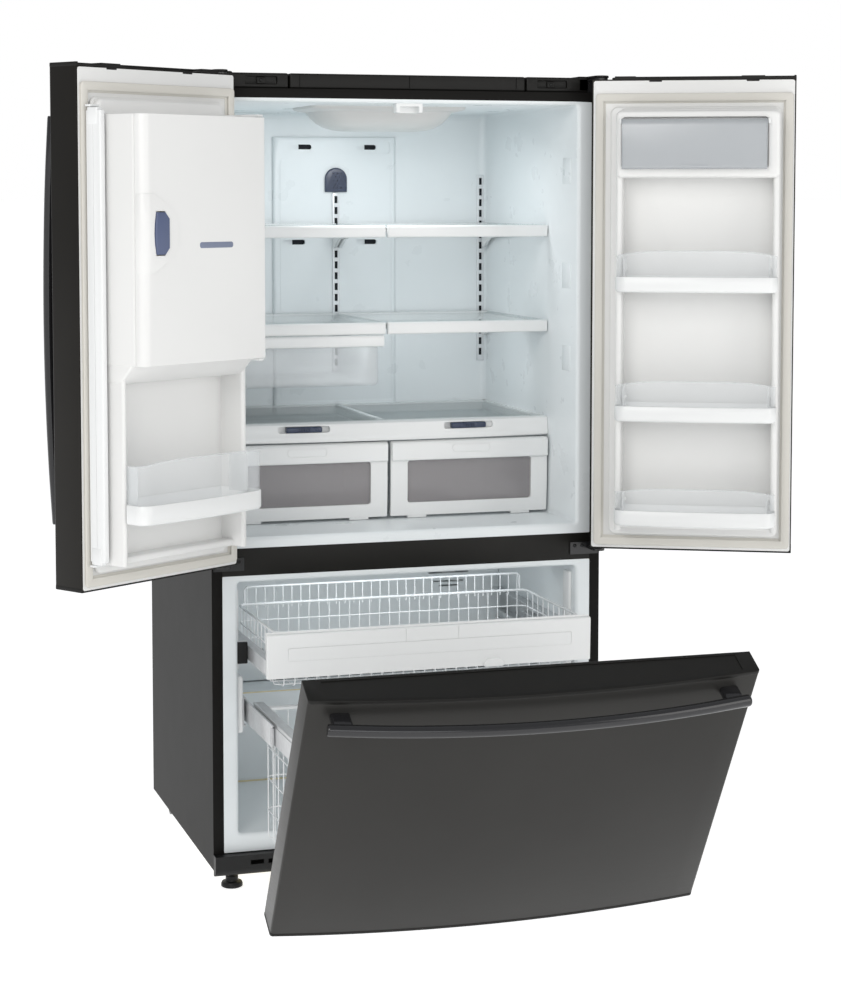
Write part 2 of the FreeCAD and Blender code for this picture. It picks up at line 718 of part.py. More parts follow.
def freezer_panel():
    """The foamed inner panel with its plug and the two pivot pins of the tilt."""
    core = bowed_slab(-HALF_WIDTH + SHEET, HALF_WIDTH - SHEET, FRONT_LOW + CAP, FRONT_HIGH - CAP,
                      inset=SHEET, corner=5)
    half = PLATE_X - 3
    plug = box(-half, half, DOOR_BACK, 14, 130, 680)
    plug = soften(plug, 18, Y_AXIS)
    dish = soften(box(20 - half, half - 20, 4, 15, 150, 660), 14, Y_AXIS)
    pins = both_sides(rod(vec(half - 1, TILT_Y, TILT_Z), X_AXIS, TILT_PIN_R, PLATE + 8.8))
    ear = box(half - 4, half + 1, -12, 4, TILT_Z - 9, TILT_Z + 9)
    return join([core, plug.cut(dish)] + both_sides(ear) + pins)


def gasket(x0, x1, z0, z1, width):
    """A magnetic seal: a flat frame that stands off the inner panel."""
    outer = box(x0, x1, DOOR_BACK, -GASKET_GAP, z0, z1)
    return outer.cut(box(x0 + width, x1 - width, DOOR_BACK - 1, 0, z0 + width, z1 - width))


def freezer_handle():
    """A bowed round bar across the freezer front, on two posts."""
    level = 686.0
    reach = 44.0
    ends = front_y(404) - reach
    bar = bent_bar(vec(-424, ends + 8, level), vec(0, front_y(0) - reach - 6, level),
                   vec(424, ends + 8, level), 12)
    post = box(373, 411, front_y(392) - reach, front_y(411) + 4, level - 8, level + 8)
    posts = both_sides(soften(post, 6, Y_AXIS))
    return join([bar] + posts).cut(bowed_slab(-HALF_WIDTH, HALF_WIDTH, FRONT_LOW, FRONT_HIGH))


# ---- doors: drawn for the left door, some mirrored for the right ----
def door_skin(with_dispenser):
    """The bowed steel wrap of a door with its top and bottom caps, open at the back."""
    outer = bowed_slab(-HALF_WIDTH, -DOOR_SPLIT, DOOR_LOW, DOOR_HIGH)
    inner = bowed_slab(-HALF_WIDTH + SHEET, -DOOR_SPLIT - SHEET, DOOR_LOW + CAP, DOOR_HIGH - CAP,
                       inset=SHEET, back=DOOR_BACK + 1, corner=5)
    skin = outer.cut(inner)
    skin = skin.cut(rod(vec(-HINGE_X, HINGE_Y, DOOR_HIGH - CAP), Z_AXIS, RECESS_R, CAP + 1))
    skin = skin.cut(pin_bore(DOOR_LOW - 1, CAP + 2))
    if with_dispenser:
        x0, x1, z0, z1 = DISPENSER
        skin = skin.cut(box(x0, x1, -120, -30, z0, z1))
    return skin


def pin_bore(low, length):
    return rod(vec(-HINGE_X, HINGE_Y, low), Z_AXIS, PIN_R + RUNNING_GAP, length)


def door_core():
    """The foamed body of a door behind its skin, bored for the two hinge pins."""
    core = bowed_slab(-HALF_WIDTH + SHEET, -DOOR_SPLIT - SHEET, DOOR_LOW + CAP, DOOR_HIGH - CAP,
                      inset=SHEET, corner=5)
    core = core.cut(pin_bore(DOOR_LOW, CAP + 22))
    return core.cut(pin_bore(DOOR_HIGH - CAP - 32, 40))


def left_liner():
    """The left door's inner panel: plateau, side dikes and the ice compartment's walls."""
    plateau = soften(box(-412, -34, DOOR_BACK, -1.5, 769, 1730), 16, Y_AXIS)
    plug = soften(box(-PLUG_HALF, -34, -2, 16, PLUG_LOW, 1730), 14, Y_AXIS)
    ice_box = box(ICE_HINGE_X, ICE_FREE_X, 14, ICE_DOOR_BACK - 1, ICE_LOW, ICE_HIGH)
    ice_room = box(ICE_HINGE_X + 14, ICE_FREE_X - 14, 34, ICE_FACE, ICE_LOW + 14, ICE_HIGH - 14)
    dikes = [
        box(-PLUG_HALF, 14 - PLUG_HALF, 14, 78, PLUG_LOW, ICE_LOW + 2),
        box(-48, -34, 14, 78, PLUG_LOW, ICE_LOW + 2),
        box(-PLUG_HALF, -34, 14, 50, PLUG_LOW, PLUG_LOW + 14),
    ]
    slope = prism([vec(ICE_HINGE_X, 14, ICE_LOW + 1), vec(ICE_HINGE_X, ICE_DOOR_BACK - 1, ICE_LOW + 1),
                   vec(ICE_HINGE_X, 70, ICE_LOW - 38), vec(ICE_HINGE_X, 14, ICE_LOW - 38)],
                  vec(ICE_FREE_X - ICE_HINGE_X, 0, 0))
    body = join([door_core(), plateau, plug, ice_box, slope] + dikes)
    x0, x1, z0, z1 = DISPENSER
    body = body.cut(box(x0, x1, -120, -26, z0, z1))
    lugs = []
    for low, pin_low in ((ICE_LOW - 6, ICE_LOW - 3), (ICE_HIGH + 1, ICE_HIGH - 10)):
        lugs.append(box(ICE_HINGE_X, ICE_PIVOT_X + 7, 60, ICE_PIVOT_Y + 6, low, low + 5))
        lugs.append(rod(vec(ICE_PIVOT_X, ICE_PIVOT_Y, pin_low), Z_AXIS, SMALL_PIN_R, 13))
    bracket = box(ICE_HINGE_X, ICE_PIVOT_X + 7, 14, 90, ICE_HIGH - 1, ICE_HIGH + 6)
    for low, high in FLAP_LUGS:
        lug = box(-60, FLAP_X + 7, 0, FLAP_Y + 7, low, high)
        lugs.append(lug.cut(rod(vec(FLAP_X, FLAP_Y, low - 1), Z_AXIS, SMALL_PIN_R + RUNNING_GAP, 9)))
    return join([body.cut(ice_room), bracket] + lugs)


def left_gasket():
    """The seal round the back of a door."""
    return gasket(-446, -8, 743, 1760, GASKET_WIDTH)


def door_handle():
    """A bowed vertical bar near the door's free edge, on two posts."""
    x = -44.0
    face = front_y(x)
    bar = bent_bar(vec(x, face - 34, 858), vec(x, face - 54, 1276), vec(x, face - 34, 1694), 11)
    posts = [soften(box(x - 8, x + 8, face - 38, face + 4, z - 19, z + 19), 6, Y_AXIS)
             for z in (888, 1664)]
    return join([bar] + posts).cut(bowed_slab(-HALF_WIDTH, -DOOR_SPLIT, DOOR_LOW, DOOR_HIGH))


def dispenser_housing():
    """The ice and water dispenser: a recessed tub with a drip tray, under a control panel."""
    x0, x1, z0, z1 = DISPENSER
    outer = bowed_slab(-HALF_WIDTH, -DOOR_SPLIT, DOOR_LOW, DOOR_HIGH, inset=-1.5, back=-26)
    tub = outer.common(box(x0 + 0.2, x1 - 0.2, -120, -26.2, z0 + 0.2, z1 - 0.2))
    room = soften(box(x0 + 10, x1 - 10, -120, -31, z0 + 14, RECESS_TOP), 10, Z_AXIS,
                  lambda p: p.y > -40)
    middle = (x0 + x1) / 2
    nozzle = rod(vec(middle, -62, RECESS_TOP - 24), Z_AXIS, 11, 26)
    lugs = [box(middle + side * 32, middle + side * 40, PADDLE_Y - 8, -30, RECESS_TOP - 26, RECESS_TOP + 1)
            for side in (-1, 1)]
    bore = rod(vec(middle - 60, PADDLE_Y, PADDLE_Z - 2), X_AXIS, 3 + RUNNING_GAP, 120)
    return join([tub.cut(room), nozzle] + [lug.cut(bore) for lug in lugs])


def dispenser_paddle():
    """The lever that a glass pushes, hung from two pins behind the nozzle."""
    middle = (DISPENSER[0] + DISPENSER[1]) / 2
    plate = box(middle - 30, middle + 30, PADDLE_Y - 2, PADDLE_Y + 2, PADDLE_Z - 120, PADDLE_Z)
    plate = soften(plate, 14, Y_AXIS, lambda p: p.z < PADDLE_Z - 100)
    axle = rod(vec(middle - 38, PADDLE_Y, PADDLE_Z - 2), X_AXIS, 3, 76)
    return join([plate, axle])


def ice_bin():
    """The ice bucket."""
    return tray(ICE_HINGE_X + 24, ICE_FREE_X - 24, 38, 112, ICE_LOW + 18, 1500, WALL)


def ice_maker():
    """The ice maker above the bucket: its mould with a row of cups, and its motor head."""
    x0 = ICE_HINGE_X + 24
    x1 = ICE_FREE_X - 24
    head = box(x0 + 10, x0 + 40, 36, 108, 1548, 1612)
    mould = box(x0 + 40, x1 - 20, 42, 104, 1556, 1596)
    cups = []
    for cup in range(7):
        start = x0 + 52 + cup * 32
        cups.append(box(start, start + 24, 50, 96, 1572, 1600))
    return join([mould.cut(group(cups)), head])


def ice_door():
    """The insulated cover of the ice compartment, with a D-shaped latch plate near its free edge."""
    panel = box(ICE_HINGE_X + 2, ICE_FREE_X, ICE_DOOR_BACK, ICE_FACE, ICE_LOW, ICE_HIGH)
    panel = soften(panel, 14, Z_AXIS, lambda p: p.x > -100 and p.y > 130)
    panel = soften(panel, 6, Z_AXIS, lambda p: p.x < -300)
    plate = rod(vec(-50, ICE_FACE - 4, 1458), Y_AXIS, 78, 7).common(box(-131, -50, 130, 150, 1378, 1539))
    pocket = box(-108, -64, ICE_FACE - 14, ICE_FACE + 10, 1415, 1502)
    bores = [rod(vec(ICE_PIVOT_X, ICE_PIVOT_Y, z), Z_AXIS, SMALL_PIN_R + RUNNING_GAP, 14)
             for z in (ICE_LOW - 2, ICE_HIGH - 12)]
    return join([panel, plate]).cut(pocket).cut(group(bores))


def ice_latch():
    """The push button that frees the ice compartment's cover."""
    button = box(-107, -65, ICE_FACE - 9, ICE_FACE + 5, 1416, 1501)
    return soften(button, 12, Y_AXIS)


def bin_plan(x0, x1, low, high, depth, inset):
    """A bin's block: narrow between the door's dikes, wide in front of them, its front corners round."""
    rear = box(x0 + DIKE + inset, x1 - DIKE - inset, BIN_REAR + inset, DIKE_FRONT + 8, low, high)
    front = box(x0 + inset, x1 - inset, DIKE_FRONT + inset, depth - inset, low, high)
    front = soften(front, BIN_CORNER - inset, Z_AXIS, lambda p: p.y > depth - inset - 1)
    return join([rear, front])


def bin_shape(x0, x1, low, high, depth):
    """A door bin: a white base band with a clear guard above, open at the top."""
    band = low + BIN_BAND
    base = bin_plan(x0, x1, low, band, depth, 0).cut(bin_plan(x0, x1, low + WALL, band + 1, depth, WALL))
    guard = bin_plan(x0, x1, band - 1, high, depth, 2)
    guard = guard.cut(bin_plan(x0, x1, band - 2, high + 1, depth, 2 + WALL))
    return join([base, guard.cut(box(x0, x1, 0, 2 * BIN_REAR, band - 2, high + 1))])


def left_bin():
    """The bottle bin under the ice compartment."""
    top = LEFT_BIN_LOW + LEFT_BIN_HEIGHT
    return bin_shape(1 - PLUG_HALF, -37, LEFT_BIN_LOW, top, LEFT_BIN_DEPTH)


def right_bins():
    """The three bins of the right door."""
    bins = []
    for low, height in zip(BIN_LEVELS, BIN_HEIGHTS):
        bins.append(bin_shape(38, PLUG_HALF - 1, low, low + height, BIN_DEPTH))
    return group(bins)


def mullion_flap():
    """The strip that swings across the gap between the two doors."""
    strip = box(FLAP_X - 7, FLAP_X + 36, FLAP_Y - 7, FLAP_Y + 7, FLAP_LOW, FLAP_HIGH)
    pin = rod(vec(FLAP_X, FLAP_Y, FLAP_LUGS[0][0]), Z_AXIS, SMALL_PIN_R, FLAP_LUGS[1][1] - FLAP_LUGS[0][0])
    return join([soften(strip, 3, Z_AXIS), pin])


def right_liner():
    """The right door's inner panel: plateau, side dikes and the dairy compartment."""
    core = door_core().mirror(vec(0, 0, 0), X_AXIS)
    plateau = soften(box(34, 412, DOOR_BACK, -1.5, 769, 1730), 16, Y_AXIS)
    plug = soften(box(34, PLUG_HALF, -2, 12, PLUG_LOW, 1730), 14, Y_AXIS)
    dikes = [
        box(36, 50, 10, 82, PLUG_LOW, 1575),
        box(PLUG_HALF - 14, PLUG_HALF, 10, 82, PLUG_LOW, 1575),
        box(36, PLUG_HALF, 10, 50, PLUG_LOW, PLUG_LOW + 12),
    ]
    dairy = soften(box(36, PLUG_HALF, 10, 96, 1571, 1718), 12, Y_AXIS)
    room = box(57, 384, 16, 97, 1587, 1706)
    body = join([core, plateau, plug, dairy] + dikes).cut(room)
    ears = []
    for ear_x, pin_x in ((57, 60), (379, 376)):
        ears.append(box(ear_x, ear_x + 5, 94, DAIRY_Y + 5, DAIRY_Z - 6, DAIRY_Z + 6))
        ears.append(rod(vec(pin_x, DAIRY_Y, DAIRY_Z), X_AXIS, SMALL_PIN_R, 5))
    return join([body] + ears)


def dairy_cover():
    """The clear cover of the dairy compartment, hinged along its top edge."""
    cover = box(63, 378, 100, 118, 1590, 1701)
    cover = soften(cover, 12, X_AXIS, lambda p: p.y > 117)
    cover = cover.cut(box(66, 375, 99, 115, 1593, 1698))
    return cover.cut(rod(vec(55, DAIRY_Y, DAIRY_Z), X_AXIS, SMALL_PIN_R + RUNNING_GAP, 340))


# ---- feet and rollers ----
def front_foot(side):
    """A levelling foot: a screw with a wide round pad."""
    pad = rod(vec(side * 407, 28, 0), Z_AXIS, 24, 14)
    collar = rod(vec(side * 407, 28, 14), Z_AXIS, 14, 12)
    screw = rod(vec(side * 407, 28, 26), Z_AXIS, PIN_R, 54)
    return join([pad, collar, screw])


def rear_rollers():
    """Two rollers on one axle line."""
    wheel = rod(vec(399, 650, 24), X_AXIS, 24, 28)
    axle = rod(vec(390, 650, 24), X_AXIS, 4, 46)
    return group(both_sides(join([wheel, axle])))


def main():
    os.makedirs("parts", exist_ok=True)
    shelf_frames, shelf_glass = shelves()
    frame = base_frame()
    blocks = rear_axle_blocks()
    bores = group([rod(vec(side * 380, 650, 24), vec(side, 0, 0), 4 + RUNNING_GAP, 60) for side in (-1, 1)])
    frame = join([frame] + blocks).cut(bores)

    save("cabinet_shell", cabinet_shell())
    save("foam_walls", foam_walls())
    save("fresh_food_liner", fresh_food_liner())
    save("freezer_liner", freezer_liner())
    save("mullion_rail", mullion_rail())
    save("top_covers", top_covers())
    save("door_hinges", door_hinges())
    save("base_grille", base_grille())
    save("base_frame", frame)
    save("compressor", compressor())
    save("condenser", condenser())
    save("rear_cover", rear_cover())
    save("water_valve", water_valve())
    save("cord_inlet", cord_inlet())
    save("evaporator", evaporator())
    save("evaporator_cover", evaporator_cover())
    save("air_duct", air_duct())
    save("air_filter", air_filter())
    save("shelf_tracks", shelf_tracks())
    save("lamp_cover", lamp_cover())
    save("shelf_frames", shelf_frames)
    save("shelf_glass", shelf_glass)
    save("rail_outers", rail_outers())
    save("condenser_fan", fan_blades(vec(212, 582, 143), True, 60, 16))
    save("evaporator_fan", fan_blades(vec(FAN_X, 546, FAN_Z), False, 52, 14))
    save("front_foot_left", front_foot(-1))
    save("front_foot_right", front_foot(1))
    save("rear_rollers", rear_rollers())

    save("crisper_left", crisper(-1))
    save("crisper_right", crisper(1))
    save("humidity_slider_left", humidity_slider(SLIDERS[0]))
    save("humidity_slider_right", humidity_slider(SLIDERS[1]))
    save("snack_pan", snack_pan())

    save("rail_middles", rail_middles(), slid(FRONT_TRAVEL / 2))
    save("drawer_frame", drawer_frame(), slid(FRONT_TRAVEL))
    save("main_basket", main_basket(), slid(FRONT_TRAVEL))
    save("upper_basket", upper_basket(), slid(UPPER_TRAVEL))
    save("upper_drawer_front", upper_drawer_front(), slid(UPPER_TRAVEL))

    save("freezer_skin", freezer_skin(), on_freezer_front)
    save("freezer_panel", freezer_panel(), on_freezer_front)
    save("freezer_gasket", gasket(-446, 446, 104, 710, GASKET_WIDTH), on_freezer_front)
    save("freezer_handle", freezer_handle(), on_freezer_front)

    save("left_skin", door_skin(True), on_left_door)
    save("left_liner", left_liner(), on_left_door)
    save("left_gasket", left_gasket(), on_left_door)
    save("left_handle", door_handle(), on_left_door)
    save("dispenser_housing", dispenser_housing(), on_left_door)
    save("dispenser_paddle", dispenser_paddle(), on_left_door)
    save("ice_bin", ice_bin(), on_left_door)
    save("ice_maker", ice_maker(), on_left_door)
    save("ice_door", ice_door(), on_left_door)
    save("ice_latch", ice_latch(), on_left_door)
    save("left_bin", left_bin(), on_left_door)
    save("mullion_flap", mullion_flap(), on_flap)

    save("right_skin", door_skin(False).mirror(vec(0, 0, 0), X_AXIS), on_right_door)
    save("right_liner", right_liner(), on_right_door)
    save("right_gasket", left_gasket().mirror(vec(0, 0, 0), X_AXIS), on_right_door)
    save("right_handle", door_handle().mirror(vec(0, 0, 0), X_AXIS), on_right_door)
    save("dairy_cover", dairy_cover(), on_right_door)
    save("right_bins", right_bins(), on_right_door)


main()
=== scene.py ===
import json
import math

import bmesh
import bpy
from mathutils import Matrix, Vector

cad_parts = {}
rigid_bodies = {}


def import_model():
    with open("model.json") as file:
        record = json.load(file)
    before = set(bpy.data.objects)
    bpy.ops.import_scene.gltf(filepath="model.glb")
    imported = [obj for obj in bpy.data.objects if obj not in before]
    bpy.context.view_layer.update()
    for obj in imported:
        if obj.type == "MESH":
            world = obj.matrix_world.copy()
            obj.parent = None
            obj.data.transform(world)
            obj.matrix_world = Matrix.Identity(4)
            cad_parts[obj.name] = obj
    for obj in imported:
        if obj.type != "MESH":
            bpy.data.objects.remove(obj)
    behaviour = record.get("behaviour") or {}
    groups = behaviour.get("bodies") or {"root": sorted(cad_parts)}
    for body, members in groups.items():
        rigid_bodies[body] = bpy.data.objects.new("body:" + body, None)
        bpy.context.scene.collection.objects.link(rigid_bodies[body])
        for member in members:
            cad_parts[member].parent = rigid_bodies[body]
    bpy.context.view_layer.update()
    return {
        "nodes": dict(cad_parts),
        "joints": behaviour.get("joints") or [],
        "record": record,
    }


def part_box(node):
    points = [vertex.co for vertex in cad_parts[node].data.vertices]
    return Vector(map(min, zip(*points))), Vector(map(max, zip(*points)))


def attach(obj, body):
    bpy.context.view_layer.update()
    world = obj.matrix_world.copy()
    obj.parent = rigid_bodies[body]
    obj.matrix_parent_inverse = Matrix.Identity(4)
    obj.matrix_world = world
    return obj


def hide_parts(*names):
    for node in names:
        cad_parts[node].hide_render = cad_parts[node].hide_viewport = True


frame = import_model()

# Every piece is drawn in millimetres with the doors and drawers closed, X to the right, Y to the
# back from the cabinet's front face and Z up. put() opens it to the frame's rest pose, in metres.
MM = 0.001
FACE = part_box("cabinet_shell")[0].y / MM
joint_to = {joint["child"]: joint for joint in frame["joints"]}


# ---- places, from the frame ----
def opened(body):
    """The matrix, in metres, from where a body is when everything is closed to its rest pose."""
    if body not in joint_to:
        return Matrix.Identity(4)
    joint = joint_to[body]
    axis = Vector(joint["axis"])
    if joint.get("continuous"):
        own = Matrix.Identity(4)
    elif joint["type"] == "slide":
        low, high = joint["range_m"]
        own = Matrix.Translation(axis * (-low if high == 0 else 0))
    else:
        pivot = Matrix.Translation(Vector(joint["pos_m"]))
        angle = math.radians(-joint["range_deg"][0])
        own = pivot @ Matrix.Rotation(angle, 4, axis) @ pivot.inverted()
    return own @ opened(joint["parent"])


class Span:
    """A CAD node's box in millimetres, with everything closed."""

    def __init__(self, node, body):
        back = opened(body).inverted()
        points = [back @ v.co / MM for v in frame["nodes"][node].data.vertices]
        self.x0 = min(p.x for p in points)
        self.x1 = max(p.x for p in points)
        self.y0 = min(p.y for p in points) - FACE
        self.y1 = max(p.y for p in points) - FACE
        self.z0 = min(p.z for p in points)
        self.z1 = max(p.z for p in points)
        self.xm = (self.x0 + self.x1) / 2


node_body = {}
for body_name, members in frame["record"]["behaviour"]["bodies"].items():
    for member in members:
        node_body[member] = body_name


def span(node):
    return Span(node, node_body[node])


# ---- mesh building, in millimetres ----
def cosine(degrees):
    return math.cos(math.radians(degrees))


def sine(degrees):
    return math.sin(math.radians(degrees))


def fresh(points, faces):
    """A new mesh from points and faces, with its normals turned outwards."""
    mesh = bmesh.new()
    corners = [mesh.verts.new(p) for p in points]
    for face in faces:
        mesh.faces.new([corners[i] for i in face])
    bmesh.ops.recalc_face_normals(mesh, faces=mesh.faces)
    return mesh


def round_edges(mesh, edges, radius, segments=3):
    bmesh.ops.bevel(mesh, geom=edges, offset=radius, segments=segments, profile=0.5, affect="EDGES",
            clamp_overlap=True)
    return mesh


def block(x0, x1, y0, y1, z0, z1, radius=1.5, segments=2):
    """A box with every edge rounded."""
    mesh = bmesh.new()
    size = Matrix.Diagonal((abs(x1 - x0), abs(y1 - y0), abs(z1 - z0), 1))
    centre = Matrix.Translation(((x0 + x1) / 2, (y0 + y1) / 2, (z0 + z1) / 2))
    bmesh.ops.create_cube(mesh, size=1, matrix=centre @ size)
    if radius:
        round_edges(mesh, mesh.edges[:], radius, segments)
    return mesh


AXES = {"x": lambda u, v, w: (w, u, v), "y": lambda u, v, w: (u, w, v), "z": lambda u, v, w: (u, v, w)}


def extrude(outline, axis, start, end, radius=0.0, segments=2):
    """An outline of (u, v) points pushed along an axis, its two rims rounded."""
    place = AXES[axis]
    count = len(outline)
    points = [place(u, v, start) for u, v in outline] + [place(u, v, end) for u, v in outline]
    faces = [[i, (i + 1) % count, count + (i + 1) % count, count + i] for i in range(count)]
    faces += [list(range(count)), list(range(count, 2 * count))]
    mesh = fresh(points, faces)
    if radius:
        mesh.verts.ensure_lookup_table()
        rims = [e for e in mesh.edges if (e.verts[0].index < count) == (e.verts[1].index < count)]
        round_edges(mesh, rims, radius, segments)
    return mesh


def arc(cu, cv, radius, start, end, steps):
    """Points on an arc, its angles in degrees."""
    points = []
    for i in range(steps + 1):
        angle = math.radians(start + (end - start) * i / steps)
        points.append((cu + radius * math.cos(angle), cv + radius * math.sin(angle)))
    return points


def rounded(u0, u1, v0, v1, radius, steps=4):
    """A rectangle's outline with round corners. The radius may differ at each of the four."""
    radii = radius if isinstance(radius, tuple) else (radius,) * 4
    a, b, c, d = [max(r, 0.05) for r in radii]
    return (arc(u0 + a, v0 + a, a, 180, 270, steps) + arc(u1 - b, v0 + b, b, 270, 360, steps) + arc(u1 - c,
            v1 - c, c, 0, 90, steps) + arc(u0 + d, v1 - d, d, 90, 180, steps))


def slab(u0, u1, v0, v1, axis, start, end, corner, steps=4, radius=0.0, segments=2):
    """A rounded rectangle pushed along an axis."""
    return extrude(rounded(u0, u1, v0, v1, corner, steps), axis, start, end, radius, segments)


def loft(rings, ends=True, around=False):
    """A skin over rings of equal point counts. ends closes the first and last, around joins them."""
    count = len(rings[0])
    points = [p for ring in rings for p in ring]
    faces = []
    last = len(rings) if around else len(rings) - 1
    for k in range(last):
        low, high = k * count, ((k + 1) % len(rings)) * count
        for i in range(count):
            j = (i + 1) % count
            faces.append([low + i, low + j, high + j, high + i])
    if ends and not around:
        faces.append(list(range(count)))
        faces.append([(len(rings) - 1) * count + i for i in range(count)])
    return fresh(points, faces)


def ring(outline, axis, level):
    return [AXES[axis](u, v, level) for u, v in outline]


def frame_sweep(x0, x1, z0, z1, profile, corner=6.0):
    """A closed frame: profile gives (inset, y) points, swept round a rectangle with round corners."""
    rings = []
    for inset, y in profile:
        outline = rounded(x0 + inset, x1 - inset, z0 + inset, z1 - inset, max(corner - inset, 0.6), 3)
        rings.append(ring(outline, "y", y))
    return loft(rings, around=True)


def tub(outline_at, low, high, wall, round_low=5.0):
    """An open tray. outline_at(inset) gives its plan outline at a depth inside its outer wall."""
    rings = []
    for angle in (90, 60, 30, 0):
        lift = round_low * (1 - sine(angle))
        inset = round_low * (1 - cosine(angle))
        rings.append(ring(outline_at(inset), "z", low + lift))
    rings.append(ring(outline_at(0.0), "z", high - wall / 2))
    rings.append(ring(outline_at(wall * 0.3), "z", high))
    rings.append(ring(outline_at(wall * 0.7), "z", high))
    rings.append(ring(outline_at(wall), "z", high - wall / 2))
    inner = max(round_low - wall, 1.0)
    for angle in (0, 30, 60, 90):
        lift = inner * (1 - sine(angle))
        inset = inner * (1 - cosine(angle))
        rings.append(ring(outline_at(wall + inset), "z", low + wall + lift))
    return loft(rings)


def shrinking(x0, x1, y0, y1, corner):
    """A rounded rectangle's plan that draws in by an inset."""
    return lambda inset: rounded(x0 + inset, x1 - inset, y0 + inset, y1 - inset, max(corner - inset, 1))


def tube(path, radius, sides=8, closed=False):
    """A round bar along a path of points. radius may be one number or one for each point."""
    points = [Vector(p) for p in path]
    count = len(points)
    radii = radius if isinstance(radius, list) else [radius] * count
    rings = []
    normal = None
    for i, p in enumerate(points):
        if closed:
            ahead = points[(i + 1) % count] - points[i - 1]
        else:
            ahead = points[min(i + 1, count - 1)] - points[max(i - 1, 0)]
        ahead.normalize()
        if normal is None:
            normal = ahead.orthogonal().normalized()
        normal = (normal - ahead * normal.dot(ahead)).normalized()
        side = ahead.cross(normal)
        circle = []
        for s in range(sides):
            angle = 2 * math.pi * s / sides
            circle.append(p + radii[i] * (math.cos(angle) * normal + math.sin(angle) * side))
        rings.append(circle)
    return loft(rings, ends=not closed, around=closed)


def lathe(profile, centre, axis="z", sides=32):
    """A profile of (radius, height) points turned about an axis through centre."""
    rings = []
    for radius, height in profile:
        circle = arc(0, 0, max(radius, 0.01), 0, 360 * (sides - 1) / sides, sides - 1)
        rings.append([tuple(Vector(AXES[axis](u, v, height)) + Vector(centre)) for u, v in circle])
    return loft(rings)


def merged(meshes):
    """Several meshes as one."""
    whole = bmesh.new()
    for mesh in meshes:
        spare = bpy.data.meshes.new("spare")
        mesh.to_mesh(spare)
        whole.from_mesh(spare)
        bpy.data.meshes.remove(spare)
    return whole


def mirrored(mesh):
    """The mesh on the other side of X = 0."""
    other = mesh.copy()
    bmesh.ops.scale(other, vec=(-1, 1, 1), verts=other.verts[:])
    bmesh.ops.reverse_faces(other, faces=other.faces[:])
    return other


def both(mesh):
    return merged([mesh, mirrored(mesh)])


def moved(mesh, x=0.0, y=0.0):
    other = mesh.copy()
    bmesh.ops.translate(other, vec=(x, y, 0), verts=other.verts[:])
    return other


def cut(mesh, *cutters):
    """The mesh with the cutters taken out of it."""
    made = []
    for part in (mesh, merged(cutters)):
        data = bpy.data.meshes.new("spare")
        part.to_mesh(data)
        thing = bpy.data.objects.new("spare", data)
        bpy.context.scene.collection.objects.link(thing)
        made.append(thing)
    change = made[0].modifiers.new("cut", "BOOLEAN")
    change.object = made[1]
    change.operation = "DIFFERENCE"
    change.solver = "EXACT"
    change.use_self = False
    view = bpy.context.evaluated_depsgraph_get()
    view.update()
    result = bmesh.new()
    result.from_mesh(bpy.data.meshes.new_from_object(made[0].evaluated_get(view)))
    for thing in made:
        bpy.data.objects.remove(thing)
    return result


# ---- materials ----
def add(made, kind, **settings):
    """A new shader node of a material. An underscore in a setting stands for a space."""
    node = made.node_tree.nodes.new("ShaderNode" + kind)
    tune(node, **settings)
    return node


def tune(node, **settings):
    for name, value in settings.items():
        node.inputs[name.replace("_", " ")].default_value = value


def join(source, out, target, into):
    source.id_data.links.new(source.outputs[out], target.inputs[into])


def ramp(made, dark, light, start=0.0, end=1.0):
    tint = add(made, "ValToRGB")
    for stop, colour, place in zip(tint.color_ramp.elements, (dark, light), (start, end)):
        stop.color = [min(c, 1) for c in colour] + [1]
        stop.position = place
    return tint


def times(colour, factor):
    return [c * factor for c in colour]


def textured(name, colour, rough, metallic=0.0, vary=0.06, grain=900.0, bump=0.05, stretch=(1, 1, 1),
        alpha=1.0, coat=0.0, worn=0.08, specular=0.5):
    """A surface with cloudy colour, uneven gloss and a fine relief."""
    made = bpy.data.materials.new(name)
    made.use_nodes = True
    shader = made.node_tree.nodes["Principled BSDF"]
    tune(shader, Metallic=metallic, Alpha=alpha, Coat_Weight=coat, Coat_Roughness=0.12,
            Specular_IOR_Level=specular)
    where = add(made, "TexCoord")
    spread = add(made, "Mapping", Scale=stretch)
    join(where, "Object", spread, "Vector")
    cloud = add(made, "TexNoise", Scale=3, Detail=5)
    join(where, "Object", cloud, "Vector")
    tint = ramp(made, times(colour, 1 - vary), times(colour, 1 + vary * 0.5), 0.3, 0.7)
    join(cloud, "Fac", tint, "Fac")
    join(tint, "Color", shader, "Base Color")
    smear = add(made, "TexNoise", Scale=14, Detail=6)
    join(spread, "Vector", smear, "Vector")
    gloss = add(made, "MapRange", To_Min=max(rough - worn, 0.02), To_Max=rough + worn)
    join(smear, "Fac", gloss, "Value")
    join(gloss, "Result", shader, "Roughness")
    fine = add(made, "TexNoise", Scale=grain, Detail=2)
    join(spread, "Vector", fine, "Vector")
    relief = add(made, "Bump", Strength=bump, Distance=0.0004)
    join(fine, "Fac", relief, "Height")
    join(relief, "Normal", shader, "Normal")
    return made


